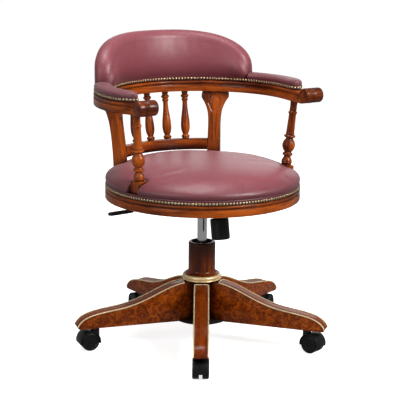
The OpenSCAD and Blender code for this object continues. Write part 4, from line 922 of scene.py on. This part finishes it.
# Puffs a closed pad with Cloth, by no more than cap. held(co) says how firmly a point is held, 0 to 1.
def swell(piece, held, cap):
    before = np.array([v.co[:] for v in piece.data.vertices])
    group = piece.vertex_groups.new(name="held")
    for v in piece.data.vertices:
        group.add([v.index], held(v.co), "REPLACE")
    cloth = piece.modifiers.new("cloth", "CLOTH")
    c = cloth.settings
    c.quality, c.mass, c.vertex_group_mass = clothFeel["quality"], clothFeel["mass"], "held"
    c.tension_stiffness, c.compression_stiffness = clothFeel["tension"], clothFeel["compression"]
    c.shear_stiffness, c.bending_stiffness = clothFeel["shear"], clothFeel["bending"]
    c.use_pressure, c.uniform_pressure_force = True, clothFeel["pressure"]
    c.effector_weights.gravity = 0
    cloth.point_cache.frame_start, cloth.point_cache.frame_end = 1, softSizes["frames"]
    for frameNumber in range(1, softSizes["frames"] + 1):
        scene.frame_set(frameNumber)
    graph = bpy.context.evaluated_depsgraph_get()
    mesh = piece.evaluated_get(graph).to_mesh()
    move = np.array([v.co[:] for v in mesh.vertices]) - before
    far = np.linalg.norm(move, axis=1)
    move *= (cap * np.tanh(far / cap) / np.maximum(far, 1e-9))[:, None]
    ends = np.array([e.vertices[:] for e in piece.data.edges])
    degree = np.maximum(np.bincount(ends.ravel(), minlength=len(before)), 1)[:, None]
    for _ in range(softSizes["smoothing"]):  # small wrinkles go, the broad puff stays
        near = np.zeros_like(move)
        np.add.at(near, ends[:, 0], move[ends[:, 1]])
        np.add.at(near, ends[:, 1], move[ends[:, 0]])
        move = 0.5 * (move + near / degree)
    piece.modifiers.clear()
    piece.vertex_groups.clear()
    piece.data.vertices.foreach_set("co", (before + move).ravel())
    piece.data.update()
    scene.frame_set(1)
    print("chair:", piece.name, "swelled by up to", round(float(far.max()) * 1000, 1), "mm")


seatSizes = {"radius": 272.7, "bulge": 276.2, "foot": 465, "low": 465.3, "belly": 15, "bellySteps": 5,
             "top": 57, "shoulder": 4.2, "fall": 1.5, "rows": 30, "crowding": 2.2, "segments": 144,
             "notch": 1.5}
# the room that the posts' feet cut out of the leather: how far out, from and to which height, and the
# height at which the corners for the gathers are taken
seatCuts = {"front": 60, "rear": 70, "height": (-20, 120), "corner": 45}
# in metres: where the nails hold the leather, and how far a post's corner holds it
seatHold = {"nailed": 0.4675, "edgeRadius": 0.2715, "edgeHeight": 0.472, "edge": 0.7, "corner": 0.012}
# in metres: gathers that run out of the corners round the front posts
seatGathers = {"low": 0.48, "near": 0.002, "reach": 0.075, "depth": 0.0012, "spread": 0.018,
               "tuck": 0.004, "tuckSpread": 0.008}


# height of the leather over the rim at a radius
def seatHeight(r, s):
    out = min(1, r / s["bulge"])
    return s["belly"] + (s["top"] - s["belly"]) * (1 - out ** s["shoulder"]) ** (1 / s["fall"])


# (radius, height over the rim) from the middle of the underside round to the crown
def seatProfile(s):
    centre, flat, steps = 0.001, s["low"] - s["foot"], s["bellySteps"]
    profile = [(centre, flat), (130, flat), (s["radius"] - 3, flat), (s["radius"] - 0.5, flat + 1)]
    profile += [(s["radius"] + (s["bulge"] - s["radius"]) * math.sin(math.pi / 2 * i / steps),
                 1 + (s["belly"] - 1) * i / steps) for i in range(1, steps + 1)]
    inward = [s["bulge"] * (1 - (i / s["rows"]) ** s["crowding"]) for i in range(1, s["rows"])] + [centre]
    return profile + [(r, seatHeight(r, s)) for r in inward]


# cuts a box out of the leather, its ranges in mm from place
def cutOut(piece, place, xs, ys):
    corners = [place @ mm(x, y, z) for z in seatCuts["height"] for y in ys for x in xs]
    box = meshPiece("cutter", corners, [(0, 1, 3, 2), (4, 6, 7, 5), (0, 4, 5, 1), (1, 5, 7, 3),
                                        (3, 7, 6, 2), (2, 6, 4, 0)], "leather")
    mod = piece.modifiers.new("notch", "BOOLEAN")
    mod.operation, mod.solver, mod.object = "DIFFERENCE", "EXACT", box
    settle(piece)
    bpy.data.objects.remove(box)


# draws the leather down in fans out of the given corners
def gather(piece, corners, g):
    for v in piece.data.vertices:
        if v.co.z < g["low"]:
            continue
        for corner in corners:
            away = v.co.xy - corner.xy
            d = away.length
            if g["near"] < d < g["reach"]:
                fan = math.atan2(away.y, away.x)
                fold = math.cos(fan * 7 + corner.x * 40) * 0.6 + math.cos(fan * 4 + 1.3) * 0.4
                v.co.z -= (g["depth"] * math.exp(-d / g["spread"]) * (0.5 + fold)
                           + g["tuck"] * math.exp(-d / g["tuckSpread"]))


def buildSeat(s):
    rings = [[Vector((r * math.cos(a), r * math.sin(a), s["foot"] + z)) / 1000
              for a in around(s["segments"])] for r, z in seatProfile(s)]
    seat = loft("seatLeather", rings, "leather")
    postHalf, rearHalf = postSizes["block"] / 2 + s["notch"], rearSizes["foot"] + s["notch"]
    inCorners = []
    for side in (1, -1):
        place = blockPlace(postSizes, side)
        cutOut(seat, place, (-postHalf, postHalf + seatCuts["front"]), (-postHalf, postHalf))
        inCorners += [place @ mm(-postHalf, y, seatCuts["corner"]) for y in (-postHalf, postHalf)]
        place = Matrix.Rotation(-side * math.radians(rearSizes["angle"]), 4, "Z") @ Matrix.Translation(
            mm(0, rearSizes["radius"], rearSizes["rimTop"]))
        cutOut(seat, place, (-rearHalf, rearHalf), (-rearSizes["thick"] / 2 - s["notch"], seatCuts["rear"]))
    remesh(seat, softSizes["voxel"])
    relax(seat, 2)

    def held(co):
        near = min((co.xy - c.xy).length for c in inCorners)
        if co.z < seatHold["nailed"]:
            return 1.0
        if near < seatHold["corner"]:
            return 1 - near / seatHold["corner"]
        onEdge = math.hypot(co.x, co.y) > seatHold["edgeRadius"] and co.z < seatHold["edgeHeight"]
        return seatHold["edge"] if onEdge else 0.0

    swell(seat, held, softSizes["seatCap"])
    gather(seat, inCorners, seatGathers)
    subdivide(seat, "seatLeather")
    standFor(seat, "seat", "oxblood", "seat_cushion")


skirtSizes = {"nails": 172, "steps": 4, "puff": 0.45}


# the leather edge that is nailed to the rim, pinched between its nails
def buildSkirt(s):
    rings = []
    for i, a in enumerate(around(s["nails"] * s["steps"])):
        puff = s["puff"] * (0.5 - 0.5 * math.cos(2 * math.pi * i / s["steps"]))
        section = [(270.3, 455), (271.8, 454.7), (272.4 + puff * 0.6, 455.4), (272.5 + puff * 0.4, 458),
                   (272.6 + puff, 461.5), (273.0 + puff * 0.4, 465), (273.4, 467.2), (271.2, 468.2),
                   (270.3, 466)]
        rings.append([Vector((r * math.cos(a), r * math.sin(a), z)) / 1000 for r, z in section])
    skirt = loft("seatSkirt", rings, "leather", closedRows=True)
    standFor(skirt, "seat", "oxblood")


padSizes = {"half": 24.5, "bulge": 2.5, "side": 12, "height": 28.5, "foot": 717.8, "front": 62, "nose": 40,
            "backAngle": 61.5, "backHeight": 150, "endHeight": 45, "round": 7, "gap": 0.5, "belly": 9,
            "nailed": 10, "armHold": 0.15, "backHold": 0.12}


# a point over the rail's round stretch, at an angle from the middle of the back
def alongArm(degrees, across, up):
    a = math.radians(degrees)
    r = railSizes["radius"] + across
    return Vector((r * math.sin(a), r * math.cos(a), up)) / 1000


# a point over the rail's straight stretch, at a run from its start
def alongFront(run, across, up):
    toe = math.radians(railSizes["toe"])
    across = across * (1 - drawnIn(run) / railSizes["width"]) - drawnIn(run) / 2
    x = railSizes["radius"] * math.cos(toe) - run * math.sin(toe) + across * math.cos(toe)
    y = -railSizes["radius"] * math.sin(toe) - run * math.cos(toe) - across * math.sin(toe)
    return Vector((x, y, up)) / 1000


# points (across, up) of an arm pad's section, w and h being shares of its full size
def armSection(w, h, p):
    half, side = p["half"], p["side"]
    foot = [(w * half, 0), (w * half, h * side * 0.5), (w * (half + 0.3), h * side)]
    crown = []
    for i in range(21):
        a = math.radians(6 + 168 * i / 20)
        crown.append((w * (half + p["bulge"]) * math.cos(a),
                      h * (side + 2 + (p["height"] - side - 2) * math.sin(a) ** 0.75)))
    return foot + crown + [(-x, z) for x, z in reversed(foot)]


# cloth puffs a pad, which its nails hold along the foot and hold keeps back elsewhere
def puffPad(pad, hold, cap):
    low = padSizes["foot"] / 1000 + padSizes["nailed"] / 1000

    def held(co):
        return 1.0 if co.z < low else hold

    swell(pad, held, cap)
    subdivide(pad, "leather")


def buildArmPad(side, p):
    start = p["backAngle"] + math.degrees(p["gap"] / railSizes["radius"])
    last = 90 + railSizes["toe"]
    full = armSection(1, 1, p)
    rings = [[alongArm(a, x, p["foot"] + z) for x, z in full]
             for a in (start + (last - start) * i / 24 for i in range(25))]
    rings += [[alongFront(run, x, p["foot"] + z) for x, z in full]
              for run in np.linspace(3, p["front"] - p["nose"], 7)]
    for b in (8, 16, 24, 32, 40, 48, 56, 64, 71, 77, 82, 86, 88.5):  # the nose
        w = cosOf(b)
        run = p["front"] - p["nose"] * (1 - sinOf(b))
        section = armSection(w, 0.55 + 0.45 * w ** 0.4, p)
        rings.append([alongFront(run, x, p["foot"] + z) for x, z in section])
    if side < 0:
        rings = [[Vector((-v.x, v.y, v.z)) for v in ring] for ring in rings]
    pad = loft("armPadLeft" if side > 0 else "armPadRight", rings, "leather")
    remesh(pad, softSizes["voxel"] * softSizes["armShare"])
    puffPad(pad, p["armHold"], softSizes["padCap"])
    standFor(pad, "seat", "oxblood", "arm_pads")


# height of the back pad at an angle from its middle
def backHeight(a, p):
    return p["endHeight"] + (p["backHeight"] - p["endHeight"]) * math.sqrt(
        max(0.0, 1 - min(1, abs(a) / p["backAngle"]) ** 3))


# points (across, up) of the back pad's section, which bulges to the front and rounds off at its ends
def backSection(a, p):
    h = backHeight(a, p)
    d = max(0.0, abs(a) - p["backAngle"] + p["round"]) / p["round"]
    w = 0.35 + 0.65 * math.sqrt(max(0.0, 1 - min(1, d) ** 2))
    half = p["half"] + p["bulge"]
    cap = min(half, 0.6 * (h - p["side"]))
    side = h - cap - p["side"]
    shares = (0.12, 0.25, 0.38, 0.5, 0.62, 0.75, 0.88)
    foot = [(w * p["half"], 0), (w * p["half"], p["side"] * 0.6), (w * (p["half"] + 0.2), p["side"])]
    points = [(-x, z) for x, z in foot]
    points += [(-w * (half + p["belly"] * math.sin(math.pi * k ** 0.85)), p["side"] + k * side)
               for k in shares]
    points += [(-w * half * cosOf(b), h - cap + cap * sinOf(b))
               for b in range(0, 181, 12)]
    points += [(w * half, p["side"] + k * side) for k in reversed(shares)]
    return points + foot[::-1]


def buildBackPad(p):
    middle = p["backAngle"] - p["round"]
    angles = [-middle - p["round"] * sinOf(b) for b in range(90, 0, -9)]
    angles += list(np.linspace(-middle, middle, 61))
    angles += [middle + p["round"] * sinOf(b) for b in range(9, 91, 9)]
    rings = [[alongArm(a, x, p["foot"] + z) for x, z in backSection(a, p)] for a in angles]
    pad = loft("backPad", rings, "leather")
    remesh(pad, softSizes["voxel"] * softSizes["backShare"])
    relax(pad, 4)
    puffPad(pad, p["backHold"], softSizes["padCap"] * softSizes["backPuff"])
    standFor(pad, "seat", "oxblood", "back_pad")


buildSeat(seatSizes)
buildSkirt(skirtSizes)
buildArmPad(1, padSizes)
buildArmPad(-1, padSizes)
buildBackPad(padSizes)
print("chair: leather built")

# in metres, but for the places of the rows over the pads' foot
nailSizes = {"pitch": 0.0092, "radius": 0.0040, "height": 0.0020, "seed": 7, "tilt": 0.09,
             "rimRadius": 0.2733, "rimHeight": 0.4588, "padRise": 6.4, "padOut": 0.5}


# a tree with a Geometry input and output and named inputs (label, kind, value)
def newTree(name, inputs):
    tree = bpy.data.node_groups.new(name, "GeometryNodeTree")
    tree.interface.new_socket("Geometry", in_out="INPUT", socket_type="NodeSocketGeometry")
    for label, kind, value in inputs:
        tree.interface.new_socket(label, in_out="INPUT", socket_type=kind).default_value = value
    tree.interface.new_socket("Geometry", in_out="OUTPUT", socket_type="NodeSocketGeometry")
    return tree


# ends a tree: instances made real, then the material
def closeTree(tree, made, end, material):
    real, coat = tree.nodes.new("GeometryNodeRealizeInstances"), tree.nodes.new("GeometryNodeSetMaterial")
    coat.inputs["Material"].default_value = material
    tree.links.new(made.outputs[0], real.inputs[0])
    tree.links.new(real.outputs[0], coat.inputs["Geometry"])
    tree.links.new(coat.outputs[0], end.inputs[0])


# dome-headed nails at an even pitch along lines that carry an outward vector
def nailTree(material):
    tree = newTree("nailRow", [("Pitch", "NodeSocketFloat", 0.01), ("Head Radius", "NodeSocketFloat", 0.0045),
                               ("Head Height", "NodeSocketFloat", 0.002), ("Seed", "NodeSocketInt", 1)])
    add, link = tree.nodes.new, tree.links.new
    start, end = add("NodeGroupInput"), add("NodeGroupOutput")
    curve, even = add("GeometryNodeMeshToCurve"), add("GeometryNodeResampleCurve")
    even.mode = "LENGTH"
    link(start.outputs["Geometry"], curve.inputs["Mesh"])
    link(curve.outputs[0], even.inputs["Curve"])
    link(start.outputs["Pitch"], even.inputs["Length"])
    head, flat = add("GeometryNodeMeshUVSphere"), add("GeometryNodeTransform")
    head.inputs["Segments"].default_value, head.inputs["Rings"].default_value = 10, 6
    size = add("ShaderNodeCombineXYZ")
    for k in (0, 1):
        link(start.outputs["Head Radius"], size.inputs[k])
    link(start.outputs["Head Height"], size.inputs[2])
    head.inputs["Radius"].default_value = 1.0
    link(head.outputs[0], flat.inputs["Geometry"])
    link(size.outputs[0], flat.inputs["Scale"])
    soft = add("GeometryNodeSetShadeSmooth")
    link(flat.outputs[0], soft.inputs["Geometry"])
    outward = add("GeometryNodeInputNamedAttribute")
    outward.data_type = "FLOAT_VECTOR"
    outward.inputs["Name"].default_value = "outward"
    jitter, tilt = add("FunctionNodeRandomValue"), add("ShaderNodeVectorMath")
    jitter.data_type = "FLOAT_VECTOR"
    jitter.inputs[0].default_value = (-nailSizes["tilt"],) * 3
    jitter.inputs[1].default_value = (nailSizes["tilt"],) * 3
    link(start.outputs["Seed"], jitter.inputs["Seed"])
    link(outward.outputs[0], tilt.inputs[0])
    link(jitter.outputs[0], tilt.inputs[1])
    turn = add("FunctionNodeAlignRotationToVector")
    turn.axis = "Z"
    link(tilt.outputs[0], turn.inputs["Vector"])
    put = add("GeometryNodeInstanceOnPoints")
    link(even.outputs[0], put.inputs["Points"])
    link(soft.outputs[0], put.inputs["Instance"])
    link(turn.outputs[0], put.inputs["Rotation"])
    closeTree(tree, put, end, material)
    return tree


# a round bead along lines
def lineTree(material):
    tree = newTree("giltLine", [("Bead Radius", "NodeSocketFloat", 0.001)])
    add, link = tree.nodes.new, tree.links.new
    start, end = add("NodeGroupInput"), add("NodeGroupOutput")
    curve, ring = add("GeometryNodeMeshToCurve"), add("GeometryNodeCurvePrimitiveCircle")
    tube, soft = add("GeometryNodeCurveToMesh"), add("GeometryNodeSetShadeSmooth")
    ring.inputs["Resolution"].default_value = 8
    tube.inputs["Fill Caps"].default_value = True
    link(start.outputs["Geometry"], curve.inputs["Mesh"])
    link(start.outputs["Bead Radius"], ring.inputs["Radius"])
    link(curve.outputs[0], tube.inputs["Curve"])
    link(ring.outputs[0], tube.inputs["Profile Curve"])
    link(tube.outputs[0], soft.inputs["Geometry"])
    closeTree(tree, soft, end, material)
    return tree


# one object of open or closed lines: (points, outward vectors or None, closed) each
def linesMesh(name, lines):
    points, edges, outs = [], [], []
    for line, out, closed in lines:
        first = len(points)
        points += [tuple(p) for p in line]
        outs += [tuple(o) for o in (out or [Vector((0, 0, 1))] * len(line))]
        edges += [(first + i, first + i + 1) for i in range(len(line) - 1)]
        if closed:
            edges.append((first + len(line) - 1, first))
    mesh = bpy.data.meshes.new(name)
    mesh.from_pydata(points, edges, [])
    outward = mesh.attributes.new("outward", "FLOAT_VECTOR", "POINT")
    outward.data.foreach_set("vector", [v for o in outs for v in o])
    piece = bpy.data.objects.new(name, mesh)
    scene.collection.objects.link(piece)
    return piece


# runs a tree on a piece with the given inputs and keeps what it makes
def runTree(piece, tree, finish, **values):
    mod = piece.modifiers.new("make", "NODES")
    mod.node_group = tree
    for label, value in values.items():
        for item in tree.interface.items_tree:
            if item.name.replace(" ", "") == label and item.in_out == "INPUT":
                mod[item.identifier] = value
    settle(piece)
    if not piece.data.materials:
        piece.data.materials.append(finishes[finish])


def buildNails(n):
    ring = [Vector((math.cos(a), math.sin(a), 0)) for a in around(360)]
    lines = [([v * n["rimRadius"] + Vector((0, 0, n["rimHeight"])) for v in ring], ring, True)]
    up = (padSizes["foot"] + n["padRise"]) / 1000
    half = padSizes["half"] + n["padOut"]
    path = railPath(railSizes, padSizes["front"] - padSizes["nose"], 120)
    for side in (1, -1):  # along both faces of the rail and round each arm pad's nose
        lines.append(([(p + o * side * half) / 1000 + Vector((0, 0, up)) for p, o in path],
                      [o * side for p, o in path], False))
        nose, outs = [], []
        for b in range(6, 175, 4):
            a = math.radians(b)
            run = padSizes["front"] - padSizes["nose"] * (1 - math.sin(a)) + n["padOut"] * math.sin(a)
            v = alongFront(run, half * math.cos(a), 0)
            away = alongFront(run + math.sin(a) * half / padSizes["nose"], (half + 1) * math.cos(a), 0) - v
            nose.append(Vector((v.x * side, v.y, up)))
            outs.append(Vector((away.x * side, away.y, 0)).normalized())
        lines.append((nose, outs, False))
    nails = linesMesh("brassNails", lines)
    runTree(nails, nailTree(finishes["nail"]), "nail", Pitch=n["pitch"], HeadRadius=n["radius"],
            HeadHeight=n["height"], Seed=n["seed"])
    standFor(nails, "seat", "gilt")
    print("chair: nails driven,", len(nails.data.polygons), "faces")


legSizes = {"reach": 368, "width": 41, "foot": 64, "rootHeight": 114, "waist": 240, "waistHeight": 52,
            "toe": 6, "hub": 38}
giltSizes = {"radius": 1.9, "start": 58, "inset": 0.9, "sink": 0.5, "endSink": 0.2, "arch": 2.2}


# (distance, height) along a leg's top, from hub to toe
def legCrest(s):
    run, drop = s["waist"] - s["hub"], s["rootHeight"] - s["waistHeight"]
    root = cubic((s["hub"] - 6, s["rootHeight"]), (s["hub"] + run / 3, s["rootHeight"] + 3),
                 (s["hub"] + 0.55 * run, s["waistHeight"] + drop / 4), (s["waist"], s["waistHeight"]), 24)
    toe = cubic((s["waist"], s["waistHeight"]), (s["waist"] + 60, s["waistHeight"] - 10),
                (s["reach"] - 14, s["waistHeight"] - 10), (s["reach"], s["toe"]), 20)
    return root + toe[1:]


# a line down both edges of each leg's top, closed by an arch near the hub
def buildGiltLines(g, s):
    lines = []
    half = s["width"] / 2 - g["inset"]
    crest = [p for p in legCrest(s) if p[0] > g["start"]]
    startAt, startHeight = crest[0]
    for leg in legNumbers:
        turn = Matrix.Rotation(math.radians(legHeading(leg)), 3, "Z")
        left = [Vector((r, -half, s["foot"] + z - g["sink"])) for r, z in reversed(crest)]
        across = [Vector((startAt - g["arch"] * math.sin(math.pi * k / 6), -half * math.cos(math.pi * k / 6),
                          s["foot"] + startHeight - g["endSink"])) for k in range(1, 6)]
        right = [Vector((r, half, s["foot"] + z - g["sink"])) for r, z in crest]
        lines.append(([turn @ v / 1000 for v in left + across + right], None, False))
    gilt = linesMesh("giltLines", lines)
    runTree(gilt, lineTree(finishes["giltLine"]), "giltLine", BeadRadius=g["radius"] / 1000)
    standFor(gilt, "base", "gilt")


buildNails(nailSizes)
buildGiltLines(giltSizes, legSizes)
print("chair: nails and gilt lines done")


# a pale floor and a wall far round it, which throw no light on the chair
def buildFloor():
    reach = studio["floorRadius"]
    points = [(reach * math.cos(a), reach * math.sin(a), 0) for a in around(64)]
    floor = meshPiece("paleFloor", points, [tuple(range(64))], "paper", smooth=False)
    floor.visible_glossy = floor.visible_diffuse = False
    rings = [[Vector(p) + Vector((0, 0, z)) for p in points] for z in (0, studio["wallHeight"])]
    wall = loft("paleWall", rings, "paper", caps=False, smooth=False)
    wall.visible_glossy = wall.visible_diffuse = wall.visible_shadow = False


buildFloor()
print("chair: done")
